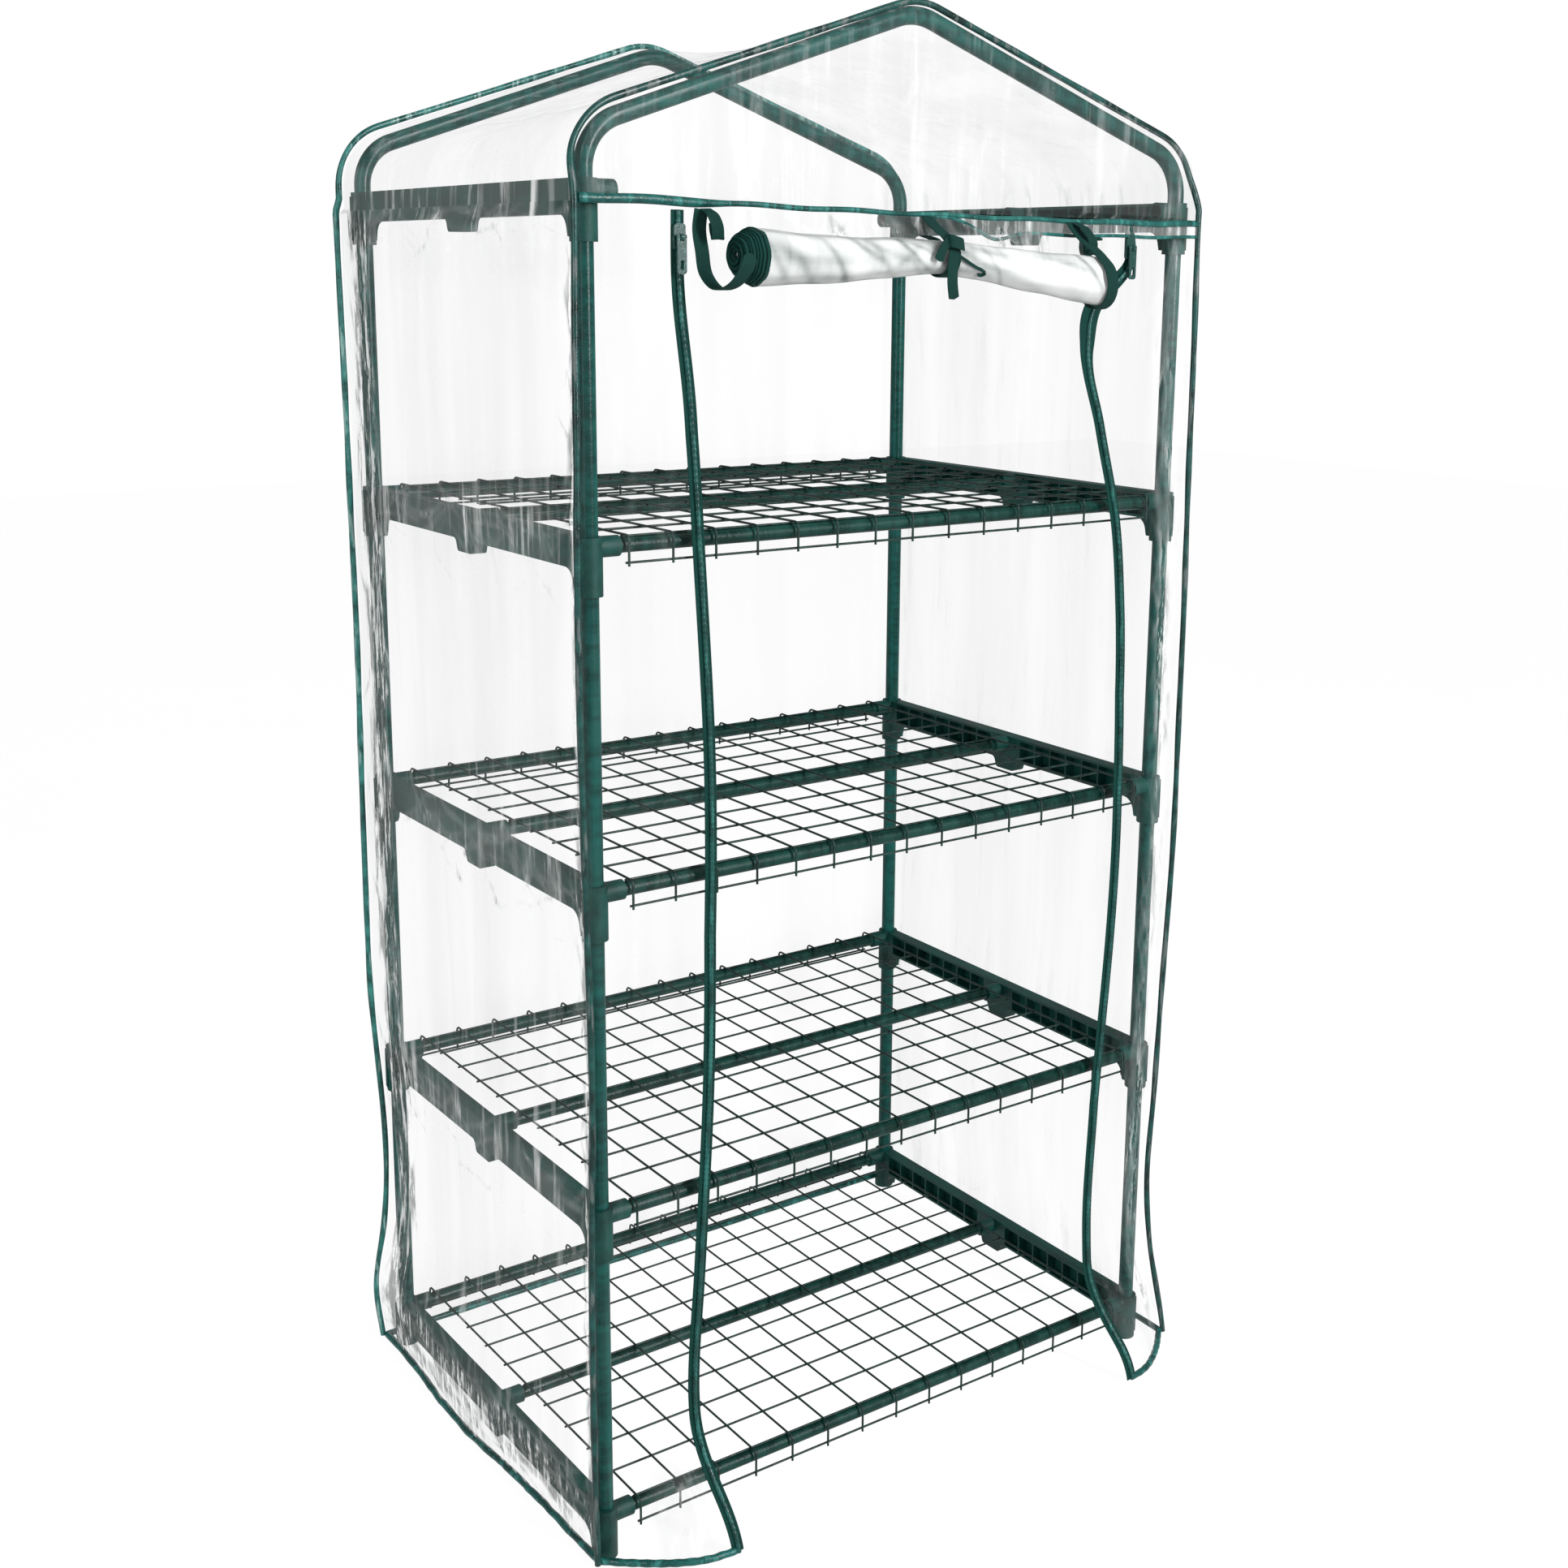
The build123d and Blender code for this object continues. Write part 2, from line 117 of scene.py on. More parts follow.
def route(points, count):
    """A smooth line of count points through a few given ones, evenly spaced along it."""
    points = np.array(points, float)
    run = np.r_[0, np.cumsum(np.linalg.norm(np.diff(points, axis=0), axis=1))]
    fine = np.linspace(0, run[-1], 8 * count)
    line = np.stack([through(list(zip(run, points[:, k])), fine) for k in range(3)], axis=1)
    return even(line, count)


def even(line, count):
    """The same line with count points at equal steps."""
    run = np.r_[0, np.cumsum(np.linalg.norm(np.diff(line, axis=0), axis=1))]
    at = np.linspace(0, run[-1], count)
    return np.stack([np.interp(at, run, line[:, k]) for k in range(3)], axis=1)


def creases(u, v, seed, count, box, length, width, height, lean=0.0, spread=0.25):
    """Long narrow folds laid over a flat sheet: the height at (u, v), and how sharply it is bent."""
    rng = np.random.default_rng(seed)
    total = np.zeros_like(u)
    sharp = np.zeros_like(u)
    for _ in range(count):
        cu, cv = rng.uniform(box[0], box[1]), rng.uniform(box[2], box[3])
        turn = lean + rng.normal(0, spread)
        half, thin = length * rng.uniform(0.4, 1.3), width * rng.uniform(0.5, 1.6)
        tall = height * rng.uniform(0.3, 1.0) * rng.choice((-1, 1))
        bow = rng.normal(0, 0.12) / length
        along = (u - cu) * sin(turn) + (v - cv) * cos(turn)
        across = (u - cu) * cos(turn) - (v - cv) * sin(turn) + bow * along**2
        shape = np.exp(-((across / thin) ** 2) - (along / half) ** 2)
        total += tall * shape
        sharp += shape * rng.uniform(0.3, 1.0)
    return total, sharp


# ---- Mesh helpers ----


def mesh_piece(name, points, faces, material, body):
    """A smooth-shaded mesh that rides on a body."""
    mesh = bpy.data.meshes.new(name)
    mesh.from_pydata([tuple(p) for p in points], [], faces)
    mesh.polygons.foreach_set("use_smooth", [True] * len(mesh.polygons))
    mesh.materials.append(material)
    piece = bpy.data.objects.new(name, mesh)
    bpy.context.scene.collection.objects.link(piece)
    if body:
        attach(piece, body)
    return piece


def quads(rows, columns, around=False):
    """Faces over a grid of points, joined round its columns if asked."""
    last = columns if around else columns - 1
    faces = []
    for i in range(rows - 1):
        low, high = i * columns, (i + 1) * columns
        for j in range(last):
            following = (j + 1) % columns
            faces.append((low + j, low + following, high + following, high + j))
    return faces


def sheet_piece(name, grid, marks, material, body):
    """A film panel from a grid of points. marks: how sharply it is folded, and how much whitish haze and
    painted sheen it has, 0 to 1.
    """
    rows, columns = grid.shape[:2]
    piece = mesh_piece(name, grid.reshape(-1, 3), quads(rows, columns), material, body)
    for key, value in zip(("crease", "haze_sheen"), marks):
        spread_out = np.clip(value, 0, 1) * np.ones((rows, columns))
        layer = piece.data.attributes.new(key, "FLOAT", "POINT")
        layer.data.foreach_set("value", spread_out.reshape(-1))
    return piece


def sweep(name, path, outline, material, body, side=None, swell=None):
    """A closed skin along a path. outline holds 2-D points, side is the direction of their first axis."""
    path = np.asarray(path, float)
    tangent = np.gradient(path, axis=0)
    tangent /= np.linalg.norm(tangent, axis=1)[:, None]
    first = np.array(side if side is not None else (0.3, 0.7, 0.2), float)
    across = []
    for direction in tangent:
        turned = first - direction * first.dot(direction)
        turned /= np.linalg.norm(turned)
        across.append(turned)
        if side is None:
            first = turned
    across = np.array(across)
    up = np.cross(tangent, across)
    outline = np.asarray(outline, float)
    size = np.ones(len(path)) if swell is None else np.asarray(swell, float)
    offsets = outline[None] * size[:, None, None]
    rings = path[:, None] + offsets[..., :1] * across[:, None] + offsets[..., 1:] * up[:, None]
    count = len(outline)
    faces = quads(len(path), count, around=True)
    faces.append(tuple(reversed(range(count))))
    faces.append(tuple(range((len(path) - 1) * count, len(path) * count)))
    return mesh_piece(name, rings.reshape(-1, 3), faces, material, body)


def circle(radius, count=12):
    """A round outline."""
    turns = np.linspace(0, 2 * pi, count, endpoint=False)
    return np.stack([radius * np.cos(turns), radius * np.sin(turns)], axis=1)


FLAT_FACE, FLAT_EDGE = 0.35, 0.55  # how square a tape's outline is across its width and its thickness


def lozenge(width, thickness, count=16):
    """A flat outline with round edges."""
    turns = np.linspace(0, 2 * pi, count, endpoint=False)
    x = np.sign(np.cos(turns)) * np.abs(np.cos(turns)) ** FLAT_FACE * width / 2
    y = np.sign(np.sin(turns)) * np.abs(np.sin(turns)) ** FLAT_EDGE * thickness / 2
    return np.stack([x, y], axis=1)


# ---- Materials ----
COAT_ROUGHNESS = 0.12
FILM_EDGE_TINT = 0.16  # how much clear film shows at a grazing angle
FILM_TINT = (0.105, 0.030)  # how much it shows in its greyer and its clearer bands
FILM_GLOW = 0.32  # painted light: emission on whitened film, standing in for light that reaches the eye through it from the backdrop behind it
DENSEST_FILM = 0.92
WHITE_FILM = (0.95, 0.97, 0.96)
WHITE = (1, 1, 1, 1)
FLOOR_BRIGHTNESS = 0.95  # as the camera sees it
FLOOR_BOUNCE = 0.5  # as it lights the object


class Look:
    """A Principled material, and the few node patterns that its colours and bumps are made of."""

    def __init__(self, name, roughness, specular=0.5, coat=0.0):
        self.material = bpy.data.materials.new(name)
        self.material.use_nodes = True
        self.nodes = self.material.node_tree.nodes
        self.links = self.material.node_tree.links
        self.shader = self.nodes["Principled BSDF"]
        self.shader.inputs["Roughness"].default_value = roughness
        self.shader.inputs["Specular IOR Level"].default_value = specular
        self.shader.inputs["Coat Weight"].default_value = coat
        self.shader.inputs["Coat Roughness"].default_value = COAT_ROUGHNESS
        self.place = self.nodes.new("ShaderNodeTexCoord").outputs["Object"]

    def node(self, kind, values=(), **settings):
        """A new node with its settings, and its inputs set or linked."""
        made = self.nodes.new(kind)
        for key, value in settings.items():
            setattr(made, key, value)
        for socket, value in values:
            if isinstance(value, bpy.types.NodeSocket):
                self.links.new(value, made.inputs[socket])
            else:
                made.inputs[socket].default_value = value
        return made

    def stretched(self, scale):
        """Object coordinates, scaled along each axis."""
        return self.node("ShaderNodeMapping", [("Vector", self.place), ("Scale", scale)]).outputs[0]

    def noise(self, scale, stretch=(1, 1, 1), detail=4.0, rough=0.55):
        """Cloudy noise from 0 to 1."""
        values = [
            ("Vector", self.stretched(stretch)),
            ("Scale", scale),
            ("Detail", detail),
            ("Roughness", rough),
        ]
        return self.node("ShaderNodeTexNoise", values).outputs["Fac"]

    def remap(self, value, low, high, out_low, out_high):
        """A value's range low..high turned into out_low..out_high."""
        values = [
            ("Value", value),
            ("From Min", low),
            ("From Max", high),
            ("To Min", out_low),
            ("To Max", out_high),
        ]
        return self.node("ShaderNodeMapRange", values).outputs[0]

    def math(self, operation, a, b=0.0):
        """One arithmetic step."""
        return self.node("ShaderNodeMath", [(0, a), (1, b)], operation=operation).outputs[0]

    def mix(self, share, a, b):
        """Colour a turning into colour b as share goes from 0 to 1."""
        factor, first, second, result = 0, 6, 7, 2  # the places of the node's colour sockets
        ramp = self.node("ShaderNodeMix", data_type="RGBA")
        for socket, value in ((factor, share), (first, a), (second, b)):
            if isinstance(value, bpy.types.NodeSocket):
                self.links.new(value, ramp.inputs[socket])
            else:
                ramp.inputs[socket].default_value = value if socket == factor else (*value, 1)
        return ramp.outputs[result]

    def drive(self, socket, value):
        """Links a pattern to one of the shader's sockets."""
        self.links.new(value, self.shader.inputs[socket])

    def average(self, a, b, share=0.5):
        """Two patterns added up, the first one weighing share and the second one the rest."""
        return self.math("ADD", self.math("MULTIPLY", a, share), self.math("MULTIPLY", b, 1 - share))

    def bumps(self, height, distance, strength=1.0):
        """Adds surface relief."""
        values = [("Height", height), ("Distance", distance), ("Strength", strength)]
        self.drive("Normal", self.node("ShaderNodeBump", values).outputs[0])


def plastic_look():
    """Moulded bracket plastic: dark green, grained, with flow marks."""
    look = Look("bracket_plastic", 0.42, 0.3)
    clouds = look.noise(22, detail=6)
    streaks = look.noise(60, (1, 0.12, 1), detail=3)
    tone = look.average(clouds, streaks)
    share = look.remap(tone, 0.38, 0.62, 0, 1)
    look.drive("Base Color", look.mix(share, (0.002, 0.030, 0.025), (0.006, 0.078, 0.064)))
    look.drive("Roughness", look.remap(clouds, 0.3, 0.7, 0.34, 0.55))
    grain = look.noise(900, detail=2)
    look.bumps(look.math("ADD", grain, look.math("MULTIPLY", streaks, 0.8)), 0.0003)
    return look.material


def tube_look(name="coated_tube", low=(0.001, 0.040, 0.034), high=(0.003, 0.100, 0.086)):
    """Glossy green coating on steel tube, drawn out lengthwise, with fine orange peel."""
    look = Look(name, 0.3, 0.25, coat=0.10)
    upright = look.noise(110, (1, 1, 0.03), detail=4)
    level = look.noise(110, (0.03, 1, 1), detail=4)
    tone = look.average(upright, level)
    share = look.remap(tone, 0.4, 0.6, 0, 1)
    look.drive("Base Color", look.mix(share, low, high))
    look.drive("Roughness", look.remap(tone, 0.4, 0.6, 0.22, 0.4))
    look.bumps(look.noise(500, detail=3), 0.0002)
    return look.material


def wire_look():
    """Thin dark dip coating, thicker in drops along the wire."""
    look = Look("coated_wire", 0.38, 0.4)
    drops = look.noise(140, detail=3)
    share = look.remap(drops, 0.35, 0.65, 0, 1)
    look.drive("Base Color", look.mix(share, (0.003, 0.012, 0.010), (0.010, 0.045, 0.036)))
    look.drive("Roughness", look.remap(drops, 0.35, 0.65, 0.3, 0.5))
    look.bumps(drops, 0.0004)
    return look.material


def film_look():
    """Clear film: a faint grey tint in soft upright bands, white streaks of painted sheen, and folds painted
    dark as shade and white as highlight.

    'crease' marks the folds, and the film's second attribute how much whitish haze and painted sheen it has.
    """
    look = Look("clear_film", 0.16, 0.35)
    facing = look.node("ShaderNodeLayerWeight", [("Blend", 0.3)]).outputs["Facing"]
    edge = look.math("MULTIPLY", look.math("POWER", facing, 4.0), FILM_EDGE_TINT)
    bands = look.remap(look.noise(12, (1, 1, 0.09), detail=3), 0.38, 0.60, *FILM_TINT)
    haze_sheen = look.node("ShaderNodeAttribute", attribute_name="haze_sheen").outputs["Fac"]
    fine = look.remap(look.noise(60, (1, 1, 0.07), detail=5, rough=0.6), 0.52, 0.66, 0, 1)
    bands = look.math("MULTIPLY", bands, look.remap(haze_sheen, 0.0, 0.25, 0.12, 1))
    patch = look.remap(look.noise(26, (1, 1, 0.5), detail=3), 0.46, 0.60, 0.25, 1)
    streaks = look.math("MULTIPLY", look.math("MULTIPLY", fine, patch), 0.60)
    # painted sheen: whitish haze plus white upright streaks, standing in for light reflected off the film
    whitish_haze_and_sheen = look.math("MULTIPLY", haze_sheen, look.math("ADD", streaks, 0.05))
    folds = look.node("ShaderNodeAttribute", attribute_name="crease").outputs["Fac"]
    # painted highlight: sharp folds turn whiter and denser, standing in for light caught on the creases
    fold_highlight = look.math("MULTIPLY", look.math("POWER", folds, 1.4), 0.62)
    grey = look.math("ADD", edge, bands)
    white = look.math("ADD", whitish_haze_and_sheen, fold_highlight)
    total = look.math("ADD", grey, white)
    look.drive("Alpha", look.math("MINIMUM", total, DENSEST_FILM))
    share = look.math("DIVIDE", white, look.math("ADD", total, 0.0001))
    grain = look.noise(130, (1, 1, 0.12), detail=6, rough=0.75)
    # painted shade: sharp folds darken in fine grainy lines
    shade = look.math("MULTIPLY", look.remap(folds, 0.15, 0.5, 0, 1), look.remap(grain, 0.44, 0.50, 0, 1))
    bright = look.mix(share, (0.20, 0.22, 0.215), WHITE_FILM)
    look.drive("Base Color", look.mix(shade, bright, (0.075, 0.100, 0.095)))
    # painted light: the white part of the film glows by emission, standing in for backdrop light seen through
    # it
    look.shader.inputs["Emission Color"].default_value = WHITE
    painted_glow = look.math("MULTIPLY", share, look.math("SUBTRACT", 1.0, shade))
    look.drive("Emission Strength", look.math("MULTIPLY", painted_glow, FILM_GLOW))
    look.drive("Roughness", look.remap(fine, 0, 1, 0.12, 0.28))
    look.bumps(look.noise(260, (1, 1, 0.15), detail=4), 0.0006, 0.6)
    return look.material


def rolled_look():
    """Several layers of film wound up: white, with painted grey shade in soft clouds and along its creases,
    streaked round and along.
    """
    look = Look("rolled_film", 0.22, 0.6)
    wraps = look.noise(30, (0.14, 1, 1), detail=5)
    marks = look.noise(70, (1, 0.2, 0.2), detail=4)
    tone = look.average(wraps, marks, 0.65)
    folds = look.node("ShaderNodeAttribute", attribute_name="crease").outputs["Fac"]
    # painted shade: grey in soft clouds and along the roll's creases
    shade_cloud = look.math("MULTIPLY", look.remap(tone, 0.44, 0.66, 0, 1), 0.5)
    share = look.math("MINIMUM", look.math("ADD", shade_cloud, look.math("MULTIPLY", folds, 0.8)), 1.0)
    look.drive("Base Color", look.mix(share, WHITE_FILM, (0.26, 0.29, 0.28)))
    look.drive("Alpha", look.remap(tone, 0.35, 0.65, 0.86, 0.97))
    look.drive("Roughness", look.remap(wraps, 0.3, 0.7, 0.12, 0.35))
    look.bumps(wraps, 0.002, 0.7)
    return look.material


def piping_look(name, low, high, worn):
    """Soft shiny piping, paler where it is stretched, with short worn marks."""
    look = Look(name, 0.3, 0.4, coat=0.1)
    share = look.remap(look.noise(45, detail=5), 0.38, 0.64, 0, 1)
    marks = look.remap(look.noise(150, (1, 1, 0.15), detail=4), 0.54, 0.62, 0, 1)
    look.drive("Base Color", look.mix(marks, look.mix(share, low, high), worn))
    look.drive("Roughness", look.remap(share, 0, 1, 0.24, 0.42))
    look.bumps(look.noise(320, detail=3), 0.0004)
    return look.material


def woven_look(name, low, high, pitch):
    """Woven tape: fine crossing ribs."""
    look = Look(name, 0.75, 0.25)
    wave = [("Vector", look.place), ("Scale", pitch), ("Distortion", 0.6), ("Detail", 1.0)]
    warp, weft = (
        look.node("ShaderNodeTexWave", wave, bands_direction=axis).outputs["Fac"] for axis in ("X", "Z")
    )
    weave = look.math("MULTIPLY", warp, weft)
    share = look.average(weave, look.noise(60), 0.6)
    look.drive("Base Color", look.mix(share, low, high))
    look.drive("Roughness", look.remap(weave, 0, 1, 0.62, 0.85))
    look.bumps(weave, 0.0005)
    return look.material


def metal_look():
    """Green paint on small die castings, worn at high spots."""
    look = Look("zip_metal", 0.35, 0.5, coat=0.3)
    worn = look.remap(look.noise(240, detail=5), 0.56, 0.7, 0, 1)
    look.drive("Base Color", look.mix(worn, (0.006, 0.055, 0.045), (0.06, 0.16, 0.14)))
    look.drive("Roughness", look.remap(worn, 0, 1, 0.28, 0.5))
    look.bumps(look.noise(700), 0.0002)
    return look.material


def floor_look():
    """Plain white floor that is nearly as bright as the backdrop."""
    look = Look("studio_floor", 0.9, 0.1)
    look.drive("Base Color", look.mix(look.noise(1.5), (0.09, 0.09, 0.09), (0.11, 0.11, 0.11)))
    look.shader.inputs["Emission Color"].default_value = WHITE
    seen = look.node("ShaderNodeLightPath").outputs["Is Camera Ray"]
    look.drive("Emission Strength", look.remap(seen, 0, 1, FLOOR_BOUNCE, FLOOR_BRIGHTNESS))
    return look.material


FILM = film_look()
ROLLED = rolled_look()
PIPING = piping_look("piping", (0.003, 0.056, 0.049), (0.012, 0.140, 0.125), (0.03, 0.20, 0.18))
# Shaded and lit copies of the piping: the front arch's is painted darker as shade, the rear arch's paler as
# light
PIPINGS = {
    FRONT: piping_look("piping_front", (0.003, 0.022, 0.020), (0.008, 0.085, 0.074), (0.10, 0.13, 0.125)),
    REAR: piping_look("piping_rear", (0.006, 0.075, 0.065), (0.045, 0.26, 0.23), (0.24, 0.42, 0.39)),
}
TAPE = woven_look("zip_tape", (0.003, 0.050, 0.040), (0.012, 0.135, 0.112), 900)
TEETH = piping_look("zip_teeth", (0.002, 0.040, 0.034), (0.008, 0.100, 0.086), (0.02, 0.15, 0.13))
TIE = woven_look("tie_tape", (0.002, 0.036, 0.029), (0.010, 0.100, 0.082), 700)
CAD_LOOKS = {
    "side_bracket": plastic_look(),
    "post_": tube_look(),
    "wire_shelf": wire_look(),
    "zip_slider": metal_look(),
}
CAD_LOOKS["hoop_"] = CAD_LOOKS["post_"]
# painted shade: the crossbars get a darker copy of the tube coating
CAD_LOOKS["crossbars"] = tube_look("coated_bar_painted_shade", (0.002, 0.022, 0.017), (0.005, 0.055, 0.043))
CAD_LOOKS["zip_pull"] = CAD_LOOKS["zip_slider"]
for node_name, node_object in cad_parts.items():
    for start, look in CAD_LOOKS.items():
        if node_name.startswith(start):
            for material_slot in node_object.material_slots:
                material_slot.material = look

# ---- The lines that the film hangs from ----


def rounded_corner(before, corner, after, radius, count=14):
    """Points of the arc that rounds one corner of an outline in X and Z."""
    before, corner, after = (np.array(p, float) for p in (before, corner, after))
    one = (before - corner) / np.linalg.norm(before - corner)
    two = (after - corner) / np.linalg.norm(after - corner)
    half = np.arccos(np.clip(one.dot(two), -1, 1)) / 2
    start, end = corner + one * radius / np.tan(half), corner + two * radius / np.tan(half)
    centre = corner + (one + two) / np.linalg.norm(one + two) * radius / sin(half)
    first, last = (np.arctan2(*(p - centre)[::-1]) for p in (start, end))
    sweep_angle = (last - first + pi) % (2 * pi) - pi
    turns = [first + sweep_angle * t for t in np.linspace(0, 1, count)]
    return [centre + radius * np.array((cos(turn), sin(turn))) for turn in turns]


def roof_outline(count, proud=0.0):
    """The roof film's section at a hoop, left header to right header, as x and z."""
    x = FILM_X + proud
    eave = EAVE_Z + proud
    corners = [(-x, HEADER_Z), (-x, eave), (0, PEAK_Z + proud), (x, eave), (x, HEADER_Z)]
    radii = (EAVE_RADIUS + proud, PEAK_RADIUS + proud, EAVE_RADIUS + proud)
    line = [np.array(corners[0])]
    for k, radius in enumerate(radii):
        line += rounded_corner(corners[k], corners[k + 1], corners[k + 2], radius)
    line.append(np.array(corners[-1]))
    line = np.array([(p[0], 0, p[1]) for p in line])
    return even(line, count)[:, [0, 2]]


def corner_line(side, row, z):
    """Where a corner of the cover hangs at height z: x and y, slack between the brackets."""
    slack = {
        (LEFT, FRONT): [(0, 0.0), (0.2, 0.002), (0.5, -0.002), (0.8, 0.003), (HANG_TOP, 0.0)],
        (RIGHT, FRONT): [
            (0, 0.017), (0.06, 0.008), (0.2, -0.010), (0.3, -0.006),
            (0.6, 0.005), (0.9, 0.003), (HANG_TOP, -0.002),
        ],
        (LEFT, REAR): [
            (0, 0.004), (0.07, 0.010), (0.14, -0.002), (0.45, 0.003), (0.8, 0.001), (HANG_TOP, 0.004),
        ],
        (RIGHT, REAR): [(0, 0.004), (0.2, -0.003), (0.5, 0.003), (0.8, -0.002), (HANG_TOP, 0.0)],
    }[side, row]
    out = through(slack, z)
    wave = 0.0012 * np.sin(23 * z + 2 * side + row) * smooth(HANG_TOP - np.asarray(z), 0, 0.1)
    toe = 0.010 if (side, row) == (RIGHT, FRONT) else 0.0
    forward = toe * (1 - smooth(z, 0.0, 0.12))
    return side * (FILM_X + out), MID_Y + row * (FILM_Y + 0.4 * wave + forward)


def zip_line(side, z):
    """Where the edge of the doorway hangs at height z: x and y. It swings, and kicks forward at the floor."""
    hang = {
        LEFT: [
            (0.004, 0.236), (0.035, 0.238), (0.076, 0.243), (0.15, 0.247), (0.27, 0.241), (0.47, 0.230),
            (0.74, 0.228), (0.92, 0.237), (1.06, 0.245), (1.17, TAPE_X), (HANG_TOP, TAPE_X),
        ],
        RIGHT: [
            (0.004, 0.271), (0.031, 0.269), (0.064, 0.262), (0.167, 0.252), (0.307, 0.258), (0.623, 0.272),
            (0.85, 0.264), (0.936, 0.252), (1.03, 0.226), (1.11, 0.206), (1.15, 0.215), (1.185, TAPE_X),
            (HANG_TOP, TAPE_X),
        ],
    }[side]
    reach = {LEFT: 0.058, RIGHT: 0.060}[side]
    kick = reach * (1 - smooth(z, 0.0, 0.13)) ** 1.3
    sway = 0.003 * np.sin(7.0 * np.asarray(z) + side) * smooth(1.19 - np.asarray(z), 0, 0.15)
    return side * through(hang, z), MID_Y - FILM_Y - kick - np.abs(sway)


# ---- Film panels ----
RUB_HEIGHT = 0.068  # the film rubs on a bracket up to this far above its foot
HALF_FOLDED = 0.34  # folds on the end panels lie this far out from their middle
WALL_FOLDED = 0.48  # folds on the walls and the roof lie over this much of their depth


def rub_folds(u, v, seed, span):
    """Small sharp folds where the film is pressed on the brackets and posts."""
    total, sharp = np.zeros_like(u), np.zeros_like(u)
    for number, level in enumerate(LEVELS):
        band = (span[0], span[1], level - 0.01, level + RUB_HEIGHT)
        made = creases(u, v, seed + number, 46, band, 0.035, 0.0028, 0.0007, lean=0.5 * pi, spread=0.6)
        total += made[0]
        sharp += 0.75 * made[1]
    return total, sharp


def edge_folds(u, v, seed, low, high):
    """Film gathered into short upright folds along a post, between heights 0 and the header."""
    return creases(u, v, seed, 300, (low, high, 0.03, HEADER_Z), 0.035, 0.0030, 0.0008, spread=0.22)


def level_bands(v):
    """1 at the heights where the film lies on a bracket, 0 between them."""
    return np.minimum(sum(bump(v, level + 0.02, 0.045) for level in LEVELS), 1)


def wall(side):
    """A side wall: hung from the header between the two corner pipings, resting on the brackets."""
    rows, columns = 420, 190
    v = np.linspace(HEM_Z, HEADER_Z, rows)[:, None] * np.ones(columns)
    across = np.linspace(0, 1, columns)[None] * np.ones((rows, 1))
    front_x, front_y = corner_line(side, FRONT, v)
    rear_x, rear_y = corner_line(side, REAR, v)
    u = across * 2 * FILM_Y
    seed = 11 if side == LEFT else 37
    whole = (0, WALL_FOLDED, 0.05, 1.2)
    long_folds, long_sharp = creases(u, v, seed, 70, whole, 0.22, 0.006, 0.0020, spread=0.12)
    by_post = (0.40, WALL_FOLDED, 0.1, 1.2)
    fan, fan_sharp = creases(u, v, seed + 1, 34, by_post, 0.10, 0.0035, 0.0016, spread=0.3)
    rub, rub_sharp = rub_folds(u, v, seed + 2, (0.0, WALL_FOLDED))
    rear, rear_sharp = edge_folds(u, v, seed + 20, 2 * FILM_Y - 0.064, 2 * FILM_Y - 0.020)
    fore, fore_sharp = edge_folds(u, v, seed + 21, 0.001, 0.009)
    if side == RIGHT:
        rear_sharp, fore_sharp = 0.15 * rear_sharp, 0.15 * fore_sharp
    billow = 0.0035 * np.sin(pi * across) * (1 + np.sin(5.2 * v + 3 * across))
    inside = np.sin(pi * across) ** 0.5 * smooth(HEADER_Z - v, 0, 0.02)
    out = (billow + long_folds + fan + rub + rear + fore) * inside
    out = np.maximum(out, SKIN_LIMIT + 0.15 * out)
    x = front_x + (rear_x - front_x) * across + side * out
    y = front_y + (rear_y - front_y) * across
    z = v + 0.004 * np.sin(9 * across + side) * (1 - smooth(v, HEM_Z, 0.06)) * np.sin(pi * across)
    sharp = 0.03 * long_sharp + 0.06 * fan_sharp + 0.45 * rub_sharp + 0.95 * rear_sharp + 0.8 * fore_sharp
    if side == RIGHT:
        sharp = 0.4 * sharp
    # whitish haze and painted sheen, strongest at the bracket levels on the left wall
    whitish_haze_and_sheen = smooth(across, 0.02, 0.16) * (0.35 + (1.0 if side == LEFT else 0.2) * level_bands(v))
    if side == LEFT:
        by_floor = (0.02, 0.45, 0.02, 0.075)
        foot = creases(u, v, seed + 30, 160, by_floor, 0.05, 0.0030, 0.0006, lean=1.35, spread=0.25)
        sharp = sharp + 0.42 * foot[1]
    return np.stack([x, y, np.maximum(z, LOWEST_FILM)], axis=2), (sharp, whitish_haze_and_sheen)


def rim_back(z):
    """How far back the front rim lies at height z: above the header it sits on top of the hoop."""
    return 0.009 * smooth(z, HEADER_Z, HEADER_Z + 0.05)


